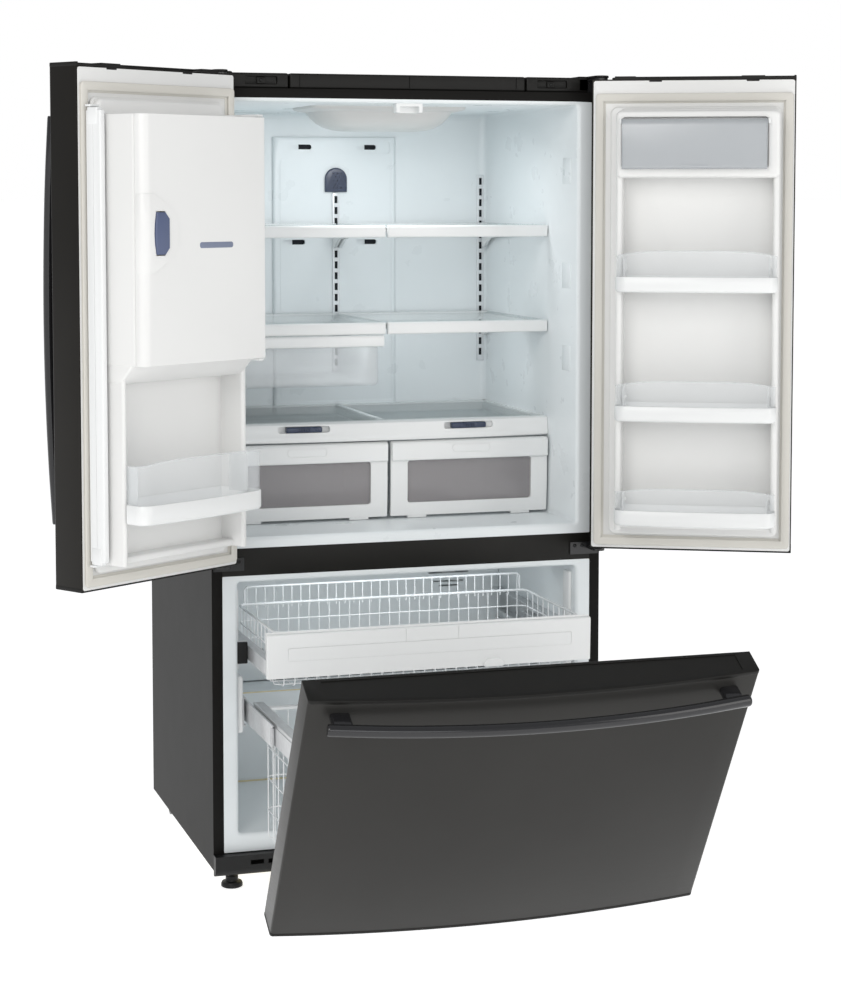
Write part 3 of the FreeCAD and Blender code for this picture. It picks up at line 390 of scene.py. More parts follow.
def spangled(name, colour, rough):
    """Galvanised sheet: crystals that differ a little in shade and gloss."""
    made = textured(name, colour, rough, metallic=0.55, vary=0.05, grain=500, bump=0.02)
    nodes = made.node_tree.nodes
    crystal = add(made, "TexVoronoi", Scale=110)
    join(nodes["Texture Coordinate"], "Object", crystal, "Vector")
    grey = add(made, "SeparateColor")
    join(crystal, "Color", grey, "Color")
    tint = ramp(made, times(colour, 0.95), times(colour, 1.03))
    join(grey, "Red", tint, "Fac")
    join(tint, "Color", nodes["Principled BSDF"], "Base Color")
    gloss = add(made, "MapRange", To_Min=rough - 0.02, To_Max=rough + 0.03)
    join(grey, "Green", gloss, "Value")
    join(gloss, "Result", nodes["Principled BSDF"], "Roughness")
    return made


def finned(name, colour):
    """Thin aluminium fins, as close parallel ridges, with painted shade in the dark bands between them."""
    made = textured(name, colour, 0.35, metallic=0.9)
    nodes = made.node_tree.nodes
    fins = add(made, "TexWave", Scale=70)
    fins.wave_type = "BANDS"
    fins.bands_direction = "X"
    join(nodes["Texture Coordinate"], "Object", fins, "Vector")
    # Painted shade: the near-black end of the bands stands in for the shade in the gaps between the fins.
    tint = ramp(made, (0.06, 0.06, 0.065), colour)
    join(fins, "Fac", tint, "Fac")
    join(tint, "Color", nodes["Principled BSDF"], "Base Color")
    join(fins, "Fac", nodes["Bump"], "Height")
    tune(nodes["Bump"], Distance=0.002, Strength=0.8)
    return made


CASE = textured("case_paint", (0.010, 0.0095, 0.0088), 0.46, vary=0.03, grain=1400, bump=0.10,
        specular=0.07, worn=0.015)
# Painted light and shade: these are one satin steel in two shades, the freezer front's copy painted lighter
# where it leans up towards the lamps and the doors' copy painted darker.
LIT_FREEZER_STEEL = textured("satin_steel_painted_light", (0.036, 0.035, 0.033), 0.34, metallic=0.45, vary=0.10, grain=160,
        bump=0.05, stretch=(1, 1, 30), worn=0.05, specular=0.3)
SHADED_DOOR_STEEL = textured("satin_steel_painted_shade", (0.021, 0.0195, 0.0175), 0.36, metallic=0.4, vary=0.10, grain=160,
        bump=0.05, stretch=(1, 1, 30), worn=0.03, specular=0.12)
HANDLE = textured("handle_lacquer", (0.020, 0.020, 0.022), 0.18, metallic=0.3, vary=0.10, grain=700,
        bump=0.02, coat=0.4, worn=0.04)
CAP = textured("cap_plastic", (0.008, 0.0075, 0.0065), 0.46, vary=0.15, grain=1800, bump=0.25,
        specular=0.25)
RAIL = textured("rail_paint", (0.009, 0.0085, 0.007), 0.42, vary=0.15, grain=1200, bump=0.15, specular=0.22)
BLACK = textured("black_plastic", (0.009, 0.009, 0.009), 0.45, vary=0.15, grain=1500, bump=0.3,
        specular=0.3)
LINER = textured("liner_white", (0.82, 0.86, 0.875), 0.28, vary=0.012, grain=500, bump=0.03, worn=0.02)
FREEZER = textured("freezer_white", (0.78, 0.82, 0.835), 0.30, vary=0.012, grain=500, bump=0.03, worn=0.02)
WHITE = textured("white_plastic", (0.84, 0.85, 0.85), 0.26, vary=0.012, grain=900, bump=0.03, worn=0.02)
DOOR_WHITE = textured("door_white", (0.81, 0.81, 0.80), 0.33, vary=0.012, grain=700, bump=0.03, worn=0.02)
WIRE = textured("coated_wire", (0.82, 0.84, 0.85), 0.22, vary=0.03, grain=900, bump=0.06, worn=0.03)
SEAL = textured("gasket_vinyl", (0.68, 0.66, 0.61), 0.5, vary=0.03, grain=1500, bump=0.15, worn=0.03)
CLEAR = textured("clear_plastic", (0.86, 0.89, 0.91), 0.07, vary=0.02, alpha=0.22, worn=0.02, specular=0.9)
FROST = textured("frosted_plastic", (0.88, 0.90, 0.91), 0.30, vary=0.02, alpha=0.55, worn=0.02)
SMOKY = textured("tinted_window", (0.40, 0.375, 0.385), 0.12, vary=0.03, alpha=0.42, worn=0.03,
        specular=0.9)
DAIRY = textured("dairy_window", (0.60, 0.63, 0.66), 0.12, vary=0.03, alpha=0.50, worn=0.03, specular=0.9)
GLASS = textured("shelf_glass", (0.66, 0.78, 0.80), 0.05, vary=0.03, alpha=0.26, worn=0.02, specular=0.9)
LAMP = textured("lamp_diffuser", (0.66, 0.66, 0.65), 0.38, vary=0.02, grain=300, bump=0.06, worn=0.02)
BLUE = textured("blue_plastic", (0.036, 0.050, 0.092), 0.28, vary=0.08, grain=900, bump=0.06)
SLATE = textured("slate_plastic", (0.092, 0.118, 0.215), 0.30, vary=0.06, grain=900, bump=0.06, worn=0.04)
LABEL = textured("label_ink", (0.20, 0.23, 0.32), 0.5, vary=0.05)
# SHADOW is painted shade: a near-black sheet set at the back of slots and pockets, where there is only shade.
SHADOW = textured("painted_slot_shade", (0.018, 0.020, 0.024), 0.6, vary=0.1, specular=0.1)
TRACK = textured("track_enamel", (0.74, 0.76, 0.78), 0.30, metallic=0.2, vary=0.03, grain=900, bump=0.04,
        worn=0.03)
PANEL_BLACK = textured("gloss_black", (0.010, 0.010, 0.011), 0.12, vary=0.2, grain=600, bump=0.02, coat=0.4)
TRAY_GREY = textured("tray_grey", (0.055, 0.055, 0.058), 0.38, vary=0.1, grain=1200, bump=0.15)
FOAM = textured("foam_cream", (0.78, 0.70, 0.45), 0.85, vary=0.10, grain=220, bump=0.6)
ROLLER = textured("roller_plastic", (0.20, 0.20, 0.20), 0.5, vary=0.1, grain=900, bump=0.2)
ENAMEL = textured("compressor_enamel", (0.014, 0.014, 0.015), 0.30, vary=0.15, grain=700, bump=0.12,
        coat=0.3)
ZINC = spangled("galvanised", (0.62, 0.63, 0.64), 0.30)
FINS = finned("fin_aluminium", (0.70, 0.71, 0.72))


# ---- pieces ----
SHARP = math.radians(38)


USUAL_SLOT = {
    BLACK: "black_plastic",
    BLUE: "blue_plastic",
    CAP: "black_plastic",
    CASE: "dark_paint",
    CLEAR: "clear_plastic",
    DAIRY: "clear_plastic",
    SHADED_DOOR_STEEL: "dark_paint",
    DOOR_WHITE: "foamed_panel",
    FREEZER: "white_liner",
    FROST: "clear_plastic",
    GLASS: "shelf_glass",
    HANDLE: "dark_handle",
    LAMP: "lamp_diffuser",
    LINER: "white_liner",
    PANEL_BLACK: "dispenser_plastic",
    RAIL: "dark_paint",
    SEAL: "gasket_rubber",
    SLATE: "blue_plastic",
    SMOKY: "clear_plastic",
    LIT_FREEZER_STEEL: "dark_paint",
    TRACK: "galvanised_steel",
    TRAY_GREY: "dispenser_plastic",
    WHITE: "white_plastic",
    WIRE: "white_wire",
    ZINC: "galvanised_steel",
}


def put(name, mesh, material, node=None, slot="usual", body="cabinet"):
    """Open a drawn mesh to its rest place and make it a piece that rides on a body.

    It replaces a CAD node and rides on that node's body, or it is an extra on the body given.
    """
    if node:
        body = node_body[node]
    if slot == "usual":
        slot = USUAL_SLOT.get(material)
    to_row = opened(body) @ Matrix.Scale(MM, 4) @ Matrix.Translation((0, FACE, 0))
    bmesh.ops.transform(mesh, matrix=to_row, verts=mesh.verts[:])
    for edge in mesh.edges:
        edge.smooth = len(edge.link_faces) == 2 and edge.calc_face_angle() < SHARP
    for face in mesh.faces:
        face.smooth = True
    data = bpy.data.meshes.new(name)
    mesh.to_mesh(data)
    mesh.free()
    data.materials.append(material)
    piece = bpy.data.objects.new(name, data)
    bpy.context.scene.collection.objects.link(piece)
    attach(piece, body)
    if node:
        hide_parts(node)


def screws(places, axis, radius=4.0, height=2.2):
    """Pan-head screws at points on a face that looks along an axis."""
    heads = []
    sign = -1 if axis.startswith("-") else 1
    for place in places:
        dome = [(radius, -0.4), (radius, 0.3), (radius * 0.86, height * 0.7), (radius * 0.5, height)]
        head = lathe([(r, sign * h) for r, h in dome] + [(0.0, sign * height)], place, axis[-1], 16)
        heads.append(head)
    return merged(heads)


# ---- outer case ----
case = span("cabinet_shell")
fresh_box = span("fresh_food_liner")
cold_box = span("freezer_liner")
mullion = span("mullion_rail")
SHEET = 1.0
CAVITY_HALF = 396.0
FRESH_LOW, FRESH_HIGH, FRESH_BACK = 785.0, 1735.0, 650.0
COLD_LOW, COLD_HIGH, COLD_BACK = 125.0, 686.0, 600.0
STEP_FRONT, STEP_HIGH = 430.0, 345.0
PIN_X, PIN_Y = -436.8, -38.3
HINGE_ROUND = 17.0


def arch(half, high, radius, inner_half, inner_high, low):
    """An upside-down U: the cabinet's sides and top, seen from the front."""
    outer = [(-half, low)] + arc(radius - half, high - radius, radius, 180, 90, 5)
    outer += arc(half - radius, high - radius, radius, 90, 0, 5) + [(half, low)]
    inner = [(inner_half, low), (inner_half, inner_high), (-inner_half, inner_high), (-inner_half, low)]
    return outer + inner


def outer_case():
    half = case.x1
    mouth = fresh_box.x1
    sides = extrude(arch(half, case.z1, 4, half - SHEET, case.z1 - SHEET, case.z0), "y", 2, case.y1 - 1.2)
    front = extrude(arch(half, case.z1, 4, mouth, fresh_box.z1, case.z0), "y", 0, 3, 1.2, 3)
    rail = block(-mouth - 1, mouth + 1, 0.3, 2, case.z0, cold_box.z0, 0.5)
    put("case_wrap", merged([sides, front, rail]), CASE, "cabinet_shell")
    low = 300
    sheet = block(2 - half, half - 2, case.y1 - 4, case.y1, low, case.z1 - 2, 1.2)
    pans = []
    for x0, x1 in ((-400, -160), (-130, 130), (160, 400)):
        pans.append(slab(x0, x1, low + 70, case.z1 - 90, "y", case.y1 - SHEET * 0.75, case.y1 + 5, 24))
    edge = both(block(433, half - 2, case.y1 - 4, case.y1, case.z0, low, 0.5))
    put("back_panel", merged([cut(sheet, *pans), edge]), ZINC, "cabinet_shell")
    points = []
    for z in range(340, 1760, 200):
        points += [(-442, case.y1, z), (442, case.y1, z)]
    for x in (-280, 0, 280):
        points += [(x, case.y1, low + 16), (x, case.y1, case.z1 - 20)]
    put("back_screws", screws(points, "y"), ZINC)


def hinge_cover():
    """The left cover: a raised block over the hinge, and a lower part with a recessed plate."""
    covers = span("top_covers")
    top = covers.z1
    low = block(covers.x0, -275, 6, 95, case.z1, top - 3, 4, 3)
    raised = block(covers.x0, -398, 6, 97, case.z1, top, 5, 3)
    pocket = block(-372, -300, 0, 14, case.z1 + 8, case.z1 + 26, 3)
    reach = extrude(arc(PIN_X, PIN_Y, HINGE_ROUND, 180, 360, 14) + [(PIN_X + HINGE_ROUND, 12),
            (PIN_X - HINGE_ROUND, 12)], "z", top - 5.5, top, 1.6)
    boss = block(-344, -326, 10, 15, case.z1 + 10, case.z1 + 24, 1)
    return merged([cut(low, pocket), raised, reach, boss])


def top_covers():
    left = hinge_cover()
    right = mirrored(left)
    covers = span("top_covers")
    put("hinge_cover_left", left, CAP, "top_covers")
    put("hinge_cover_right", right, CAP, "top_covers")
    long_cover = block(-272, 272, 6, 95, case.z1, covers.z1 - 3, 4, 3)
    grooves = [block(x - 1, x + 1, 0, 8, case.z1 + 4, covers.z1, 0) for x in (-250, 0, 250)]
    put("long_cover", cut(long_cover, *grooves), CAP, "top_covers")
    points = [(side * 335, 10, case.z1 + 17) for side in (-1, 1)]
    put("cover_screws", screws(points, "-y", 4.0, 3.0), BLACK)


def liner(x0, x1, z0, z1, box, back):
    """A moulded compartment: front flange, rolled lip, walls, and a back with soft corners."""
    thick, lip, fillet = 2.4, 9.0, 16.0
    rings = [
        ring(rounded(x0 - thick, x1 + thick, z0 - thick, z1 + thick, 8), "y", back + thick),
        ring(rounded(x0 - thick, x1 + thick, z0 - thick, z1 + thick, 8), "y", box.y0 + 3.2),
        ring(rounded(box.x0, box.x1, box.z0, box.z1, 3), "y", box.y0 + 2.4),
        ring(rounded(box.x0, box.x1, box.z0, box.z1, 3), "y", box.y0 + 0.5),
    ]
    for angle in (0, 22, 45, 68, 90):
        inset = lip * (1 - sine(angle))
        outline = rounded(x0 - inset, x1 + inset, z0 - inset, z1 + inset, 7 + inset)
        rings.append(ring(outline, "y", box.y0 - 0.4 + lip * (1 - cosine(angle)) * 0.9))
    for angle in (0, 22, 45, 68, 90):
        inset = fillet * (1 - cosine(angle))
        outline = rounded(x0 + inset, x1 - inset, z0 + inset, z1 - inset, 7)
        rings.append(ring(outline, "y", back - fillet + fillet * sine(angle)))
    return loft(rings)


def fresh_food_room():
    room = liner(-CAVITY_HALF, CAVITY_HALF, FRESH_LOW, FRESH_HIGH, fresh_box, FRESH_BACK)
    put("fresh_food_walls", room, LINER, "fresh_food_liner")
    guide = slab(-31, 31, 4, 42, "z", FRESH_HIGH - 20, FRESH_HIGH + 1, (3, 3, 14, 14), radius=2)
    groove = slab(-22, 22, -6, 32, "z", FRESH_HIGH - 22, FRESH_HIGH - 6, (2, 2, 12, 12))
    put("mullion_guide", cut(guide, groove), WHITE, "fresh_food_liner", slot="white_liner")
    pads = []
    for z in (1560, 1320, 1130):
        pads.append(block(CAVITY_HALF - 1.2, CAVITY_HALF + 1, 40, 92, z, z + 58, 1))
    put("wall_pads", both(merged(pads)), LINER)


def freezer_room():
    room = liner(-CAVITY_HALF, CAVITY_HALF, COLD_LOW, COLD_HIGH, cold_box, COLD_BACK)
    step = block(-CAVITY_HALF - 1, CAVITY_HALF + 1, STEP_FRONT, COLD_BACK + 1, COLD_LOW - 1, STEP_HIGH, 12,
            4)
    put("freezer_walls", merged([room, step]), FREEZER, "freezer_liner")
    mount = block(-CAVITY_HALF - 1, -381, 16, 530, STEP_HIGH + 1, 474, 6, 4)
    column = block(-CAVITY_HALF - 1, -CAVITY_HALF + 7, 24, 66, 486, 668, 6, 4)
    put("rail_mounts", both(merged([mount, column])), WHITE, "freezer_liner", slot="white_liner")
    wall = span("evaporator_cover")
    sheet = slab(wall.x0, wall.x1, wall.z0, wall.z1, "y", 535, 542, 12, radius=2.5, segments=3)
    louvres = [block(262 - reach, 262 + reach, 530, 545, 600 + row * 11, 604 + row * 11, 1) for row,
            reach in zip(range(-4, 5), (26, 40, 48, 52, 54, 52, 48, 40, 26))]
    vents = [block(x - 16, x + 16, 530, 545, 420, 427, 1) for x in range(-276, 277, 46)]
    bulge = lathe([(120, 0), (118, -6), (108, -12), (92, -15), (0.0, -16)], (-300, 537, 560), "y", 40)
    keep = block(-600, wall.x0 + 1, 400, 600, 300, 800, 0)
    put("freezer_back_wall", merged([cut(sheet, *louvres, *vents), cut(bulge, keep)]), FREEZER,
            "evaporator_cover")


def bright_rail():
    """The dark rail between the compartments, with the hinge screws at its ends."""
    rail = block(mullion.x0, mullion.x1, mullion.y0 - 0.2, mullion.y1, mullion.z0, mullion.z1, 0.9)
    put("mullion_cover", rail, RAIL, "mullion_rail")
    points = []
    for side in (-1, 1):
        for x in (393, 411):
            points.append((side * x, -3, 732))
    put("hinge_screws", screws(points, "-y", 4.5, 2.4), BLACK, slot="dark_steel")


outer_case()
top_covers()
fresh_food_room()
freezer_room()
bright_rail()


# ---- inside the fresh food compartment ----
SHELF_FRONT, SHELF_BACK = 183.0, 632.0
COVER_LOW, COVER_HIGH = 970.0, 1013.0
WINDOW_LOW, WINDOW_HIGH = 822, 921


def duct():
    box = span("air_duct")
    body = slab(box.x0, box.x1, box.y0, box.y1 + 6, "z", box.z0, box.z1, 8, radius=4, segments=3)
    band = slab(box.x0 + 16, box.x1 - 16, 1636, 1668, "y", box.y0 - 4, box.y0 + 3, 8)
    field = slab(box.x0 + 12, box.x1 - 12, 1020, 1626, "y", box.y0 - 4, box.y0 + 1.2, 10)
    ridge = slab(box.x0 + 18, box.x1 - 18, 1026, 1620, "y", box.y0 - 5, box.y0 + 8, 8)
    slots, slot_shade_blocks = [], []
    for low, spans in ((1646, ((-118, -60), (54, 106))), (1411, ((-134, -78), (54, 106)))):
        for x0, x1 in spans:
            slots.append(slab(x0, x1, low, low + 12, "y", box.y0 - 4, box.y0 + 9, 5))
            # Painted shade: a dark strip at the back of each vent slot, over its right part, stands in for
            # the shade inside it.
            slot_shade_blocks.append(block(x0 + (x1 - x0) * 0.45, x1, box.y0 + 7, box.y0 + 8.5, low, low + 12, 0))
    made = cut(cut(body, cut(field, ridge), band), *slots)
    put("duct_panel", made, LINER, "air_duct")
    put("duct_slot_shade", merged(slot_shade_blocks), SHADOW)


def tracks():
    """Slotted steel tracks: the middle one on the duct and one at each side of the back wall."""
    places = ((0, 640, 1094, 1538), (-382, FRESH_BACK, 1113, 1584), (382, FRESH_BACK, 1113, 1584))
    strips, slot_shade_blocks = [], []
    for x, y, low, high in places:
        strip = block(x - 9, x + 9, y - 6, y + 0.5, low, high, 1)
        slots = [block(x - 4, x + 4, y - 8, y - 2.4, z, z + 18, 0.8)
                for z in range(low + 14, high - 24, 27)]
        strips.append(cut(strip, *slots))
        # Painted shade: a dark strip along the floor of the slot pockets stands in for the shade inside them.
        slot_shade_blocks.append(block(x - 5, x + 5, y - 2.6, y - 1.6, low + 12, high - 4, 0))
    put("track_strips", merged(strips), TRACK, "shelf_tracks")
    put("track_slot_shade", merged(slot_shade_blocks), SHADOW)


def filter_cap():
    box = span("air_filter")
    outline = [(box.x0, box.z0), (box.x1, box.z0)] + arc(0, box.z1 - 28, 28, 0, 180, 16)
    cap = extrude(outline, "y", box.y0, box.y1 + 1, 3, 3)
    holes = []
    for row in range(5):
        for column in range(-row % 2 - 1, 3):
            holes.append(lathe([(1.9, -4), (1.9, 3)],
                    (column * 10 - 5 * (row % 2) + 2.5, box.y0, box.z0 + 10 + row * 9), "y", 10))
    put("filter_cap", cut(cap, *holes), BLUE, "air_filter")


def lamp():
    """A two-tier dome under the ceiling, its sides drawn in towards the bottom."""
    box = span("lamp_cover")
    rings = []
    tiers = ((0, 0, 0, 18), (0.10, 2, 1, 20), (0.16, 8, 4, 34), (0.22, 20, 10, 60), (0.45, 26, 14, 70),
            (0.68, 38, 24, 68), (0.86, 56, 40, 52), (0.96, 76, 58, 34), (1.0, 98, 74, 20))
    for drop, across, along, corner in tiers:
        z = box.z1 - drop * (box.z1 - box.z0)
        outline = rounded(box.x0 + across, box.x1 - across, box.y0 + along, box.y1 - along, corner, 6)
        rings.append(ring(outline, "z", z))
    put("lamp_dome", loft(rings), LAMP, "lamp_cover")


def shelf(side, top, label):
    """A cantilever half shelf: brackets, a rounded front trim, a rear bar and its glass."""
    outer = CAVITY_HALF - 3
    inner, front, back = 3.0, SHELF_FRONT, SHELF_BACK
    arm = [(front + 14, top - 15), (front + 14, top - 5), (back, top - 5), (back, top - 62),
            (back - 14, top - 62)]
    for i in range(1, 9):
        t = i / 9
        arm.append((back - 14 - 380 * t, top - 62 + 45 * t ** 0.32))
    arms = [extrude(arm, "x", x, x + 7, 1.2) for x in (inner, outer - 12)]
    nose = [(front + 16, top)] + arc(front + 7, top - 7, 7, 90, 180, 4) + [(front + 1.5, top - 22)]
    nose += arc(front + 6, top - 23.5, 4.5, 180, 270, 3) + [(front + 16, top - 28)]
    trim = extrude(nose, "x", inner, outer, 1.5)
    bar = block(inner, outer, back - 10, back, top - 22, top, 2)
    rails = [block(x, x + 9, front + 14, back - 8, top - 11, top - 4.2, 1.2) for x in (inner, outer - 9)]
    pane = block(inner + 0.5, outer - 0.5, front + 12, back - 9, top - 4, top + 0.3, 0.8)
    shape = merged(arms + [trim, bar] + rails)
    if side < 0:
        shape, pane = mirrored(shape), mirrored(pane)
    put("shelf_frame_" + label, shape, WHITE, "shelf_frames")
    put("shelf_pane_" + label, pane, GLASS, "shelf_glass")


def cover_outline(inset=0.0):
    """The plan of the crisper cover's trim: a bowed front between two square ends."""
    half, front, depth, bow = CAVITY_HALF - 1 - inset, SHELF_FRONT + inset, 34.0 - 2 * inset, 18.0
    points = []
    for i in range(25):
        x = half - 2 * half * i / 24
        points.append((x, front - bow * (1 - (x / half) ** 2)))
    return points + [(-half, front + depth), (half, front + depth)]


def crisper_cover():
    low, high = COVER_LOW, COVER_HIGH
    rings = [ring(cover_outline(2), "z", low), ring(cover_outline(0), "z", low + 3)]
    rings.append(ring(cover_outline(0.5), "z", low + 12))
    for t in (0.0, 0.35, 0.7, 1.0):
        lean = 1.5 + 9 * t * t
        outline = []
        for x, y in cover_outline(0):
            outline.append((x, y + (lean if y < 190 else 0)))
        rings.append(ring(outline, "z", low + 14 + (high - low - 14) * math.sin(t * math.pi / 2)))
    trim = loft(rings)
    slots = []
    for box in (span("humidity_slider_left"), span("humidity_slider_right")):
        slots.append(slab(box.x0 - 19, box.x1 + 19, box.z0 - 1, box.z1 + 1, "y", 150, box.y1, 6))
    half = CAVITY_HALF - 1
    rails = [block(x, x + 14, 210, 640, 990, high, 2) for x in (-half, -7, half - 14)]
    rails.append(block(-half, half, 622, 640, 990, high, 2))
    put("crisper_cover", merged([cut(trim, *slots)] + rails), WHITE, "shelf_frames")
    glass = block(-half + 8, half - 8, 204, 626, high - 4, high + 0.4, 0.8)
    put("crisper_glass", glass, GLASS, "shelf_glass")


def slider(label):
    box = span("humidity_slider_" + label)
    body = block(box.x0, box.x1, box.y0 + 4, box.y1 - 0.5, box.z0, box.z1, 3, 3)
    ribs = [block(box.xm + x - 1, box.xm + x + 1, box.y0 + 1, box.y0 + 6, box.z0 + 2, box.z1 - 2, 0.6)
            for x in range(-12, 13, 6)]
    put("humidity_slider_" + label + "_knob", merged([body] + ribs), BLUE, "humidity_slider_" + label)


def bulged(box, thick):
    """The crisper front's section: upright at the top, proud in the middle, drawn in at the foot."""
    outer, inner = [], []
    for i in range(17):
        z = box.z0 + 6 + (box.z1 - box.z0 - 6) * i / 16
        t = (z - box.z0) / (box.z1 - box.z0)
        y = box.y0 + 9 + 16 * (abs(t - 0.62) ** 2.2)
        outer.append((y, z))
        inner.append((y + thick, z))
    return outer + inner[::-1]


def crisper(label):
    node = "crisper_" + label
    box = span(node)
    front = extrude(bulged(box, 10), "x", box.x0, box.x1, 2.0, 3)
    opening = slab(box.x0 + 40, box.x1 - 40, WINDOW_LOW, WINDOW_HIGH, "y", 100, box.y0 + 60, 7)
    made = cut(front, opening)
    lip = [(box.y0 + 14, 965)] + arc(box.y0 + 8, 957, 8, 90, 180, 5) + [(box.y0 + 1, 929)]
    lip += arc(box.y0 + 4, 925, 4, 180, 300, 4) + [(box.y0 + 9, 932), (box.y0 + 14, 940)]
    bar = extrude(lip, "x", box.x0 + 1, box.x1 - 1, 2.0, 3)
    grip_path = [(u, box.y0 + 0.6, v) for u, v in rounded(box.xm - 46, box.xm + 46, 938, 956, 8)]
    grip = tube(grip_path, 1.3, 6, closed=True)
    put(node + "_front", merged([made, cut(bar, grip)]), WHITE, node)
    pane = extrude(bulged(box, 2.0), "x", box.x0 + 38, box.x1 - 38)
    keep_low = block(box.x0, box.x1, 100, 260, 700, WINDOW_LOW - 2, 0)
    keep_high = block(box.x0, box.x1, 100, 260, WINDOW_HIGH + 2, 1050, 0)
    window = moved(cut(pane, keep_low, keep_high), y=6)
    put(node + "_window", window, SMOKY, node)
    pan = tub(shrinking(box.x0 + 2, box.x1 - 2, box.y0 + 20, box.y1, 16), box.z0 + 1, box.z1 - 2, 2.5, 10)
    put(node + "_pan", pan, CLEAR, node)
    feet = [block(x, x + 46, box.y0 + 16, box.y0 + 40, box.z0, box.z0 + 8, 1.5)
            for x in (box.xm - 150, box.xm + 104)]
    put(node + "_feet", merged(feet), WHITE, node)


def snack_pan():
    box = span("snack_pan")
    pan = tub(shrinking(box.x0 + 10, box.x1 - 8, 192, box.y1, 14), 1094, 1195, 2.5, 12)
    rim = frame_flat(box.x0 + 1, box.x1 - 1, 192, box.y1, 1192, 1195, 11)
    put("snack_pan_tray", merged([pan, rim]), CLEAR, "snack_pan")
    bar = extrude([(192, box.z1)] + arc(184, box.z1 - 6, 6, 90, 180, 4) + arc(183, box.z1 - 21, 5, 180, 270,
            4) + [(192, box.z1 - 27)], "x", box.x0, box.x1, 1.6)
    put("snack_pan_handle", bar, WHITE, "snack_pan")


def frame_flat(x0, x1, y0, y1, z0, z1, wide):
    """A flat frame lying level."""
    rings = []
    for inset, z in ((0, z0), (0, z1), (wide, z1), (wide, z0)):
        rings.append(ring(rounded(x0 + inset, x1 - inset, y0 + inset, y1 - inset, 6), "z", z))
    return loft(rings, around=True)


duct()
tracks()
filter_cap()
lamp()
SHELF_TOPS = (("upper", 1464.0), ("lower", 1241.0))
for level_name, shelf_top in SHELF_TOPS:
    shelf(-1, shelf_top, level_name + "_left")
    shelf(1, shelf_top, level_name + "_right")
crisper_cover()
for side_name in ("left", "right"):
    slider(side_name)
    crisper(side_name)
snack_pan()


# ---- freezer drawers ----
RAIL_FRONT, RAIL_BACK = 20, 520
THIN_WIRE, BAND_WIRE, RIM_WIRE = 1.3, 1.6, 3.0


def spaced(start, end, gap):
    count = max(int(round((end - start) / gap)), 1)
    return [start + (end - start) * i / count for i in range(count + 1)]


def wire_basket(x0, x1, y0, y1, low, rim, gap, levels):
    """A basket of welded wire: rims all round, a grid below, and uprights bent under the floor."""
    wires = []
    bend = 12.0
    for z in levels:
        outline = rounded(x0, x1, y0, y1, 18, 4)
        wires.append(tube([(u, v, z) for u, v in outline], BAND_WIRE, 6, closed=True))
    wires.append(tube([(u, v, rim) for u, v in rounded(x0, x1, y0, y1, 20, 4)], RIM_WIRE, 8, closed=True))

    def bent(start, end, floor):
        return [(start, rim), (start, low + bend), (start + bend * 0.3, low + bend * 0.3),
                (start + bend, floor), (end - bend, floor), (end - bend * 0.3, low + bend * 0.3),
                (end, low + bend), (end, rim)]

    for x in spaced(x0 + 20, x1 - 20, gap):
        wires.append(tube([(x, y, z) for y, z in bent(y0, y1, low)], THIN_WIRE, 6))
    for y in spaced(y0 + 20, y1 - 20, gap * 1.5):
        wires.append(tube([(x, y, z) for x, z in bent(x0, x1, low + 2)], THIN_WIRE, 6))
    return merged(wires)


def main_drawer():
    """The lower basket of welded wire and the steel sides that carry it."""
    box = span("main_basket")
    wires = wire_basket(box.x0 + 8, box.x1 - 8, 52, 424, box.z0 + 2, box.z1 - 3, 30, (200, 270, 340))
    hooks = []
    for side in (-1, 1):
        wall, hook = side * (box.x1 - 8), side * (box.x1 - 1)
        for y in (110, 360):
            hooks.append(tube([(wall, y, 417), (hook, y, 417), (hook, y, 408)], 2.2, 6))
    put("main_basket_wires", merged([wires] + hooks), WIRE, "main_basket")
    sides = span("drawer_frame")
    top = sides.z1
    sheet = [(20, top), (484, top), (484, top - 26), (300, top - 42), (70, top - 56), (14, 148)]
    sheet += arc(-4, 138, 9, 30, -180, 10) + [(-12, 150), (16, top - 14)]
    plate_side = extrude([(y, z) for y, z in sheet], "x", 360, 365.2, 1)
    ledge = block(342, 361, 24, 484, top - 2.4, top, 1)
    member = [(365, 372), (367, 372), (367.4, 376), (367.4, 408), (367, 412), (365, 412)]
    rail = extrude(member, "y", 24, 484, 0.4)
    bar = [block(-361, 361, y, y + 6, 400, 410, 1.5) for y in (40, 478)]
    rivets = [lathe([(4, 365), (4, 366.8), (2, 367.6)], (0, y, 392), "x", 14) for y in range(60, 480, 70)]
    put("drawer_sides", merged([both(merged([plate_side, ledge, rail] + rivets))] + bar), ZINC,
            "drawer_frame")


def upper_drawer_basket():
    basket = span("upper_basket")
    low, rim, half = 480.0, 598.0, 348.0
    wires = [wire_basket(-half, half, 46, 400, low, rim, 24, (520, 560))]
    top = basket.z1 - 2
    for x in spaced(20 - half, half - 20, 21):
        wires.append(tube([(x, 401, rim - 10), (x, 401, top)], THIN_WIRE, 6))
    edge = half - 14
    wires.append(tube([(-edge, 401, rim), (-edge, 401, top - 6), (6 - edge, 401, top), (edge - 6, 401, top),
            (edge, 401, top - 6), (edge, 401, rim)], 2.4, 8))
    put("upper_basket_wires", merged(wires), WIRE, "upper_basket")
    channel = [(362, 510), (369.6, 510), (370, 513), (370, 538), (369.6, 541), (362, 541), (362, 539),
            (367, 537), (367, 514), (362, 512)]
    rail = extrude(channel, "y", 44.2, 430, 0.3)
    carrier = block(half, 364, 60, 396, 524, 527, 1)
    holes = [lathe([(4, -3), (4, 3)], (356, y, 525.5), "z", 14) for y in range(90, 390, 48)]
    lid = block(349, 363, 46, 428, 538.5, 541, 1)
    put("upper_basket_rails", both(merged([rail, lid, cut(carrier, *holes)])), ZINC, "upper_basket")


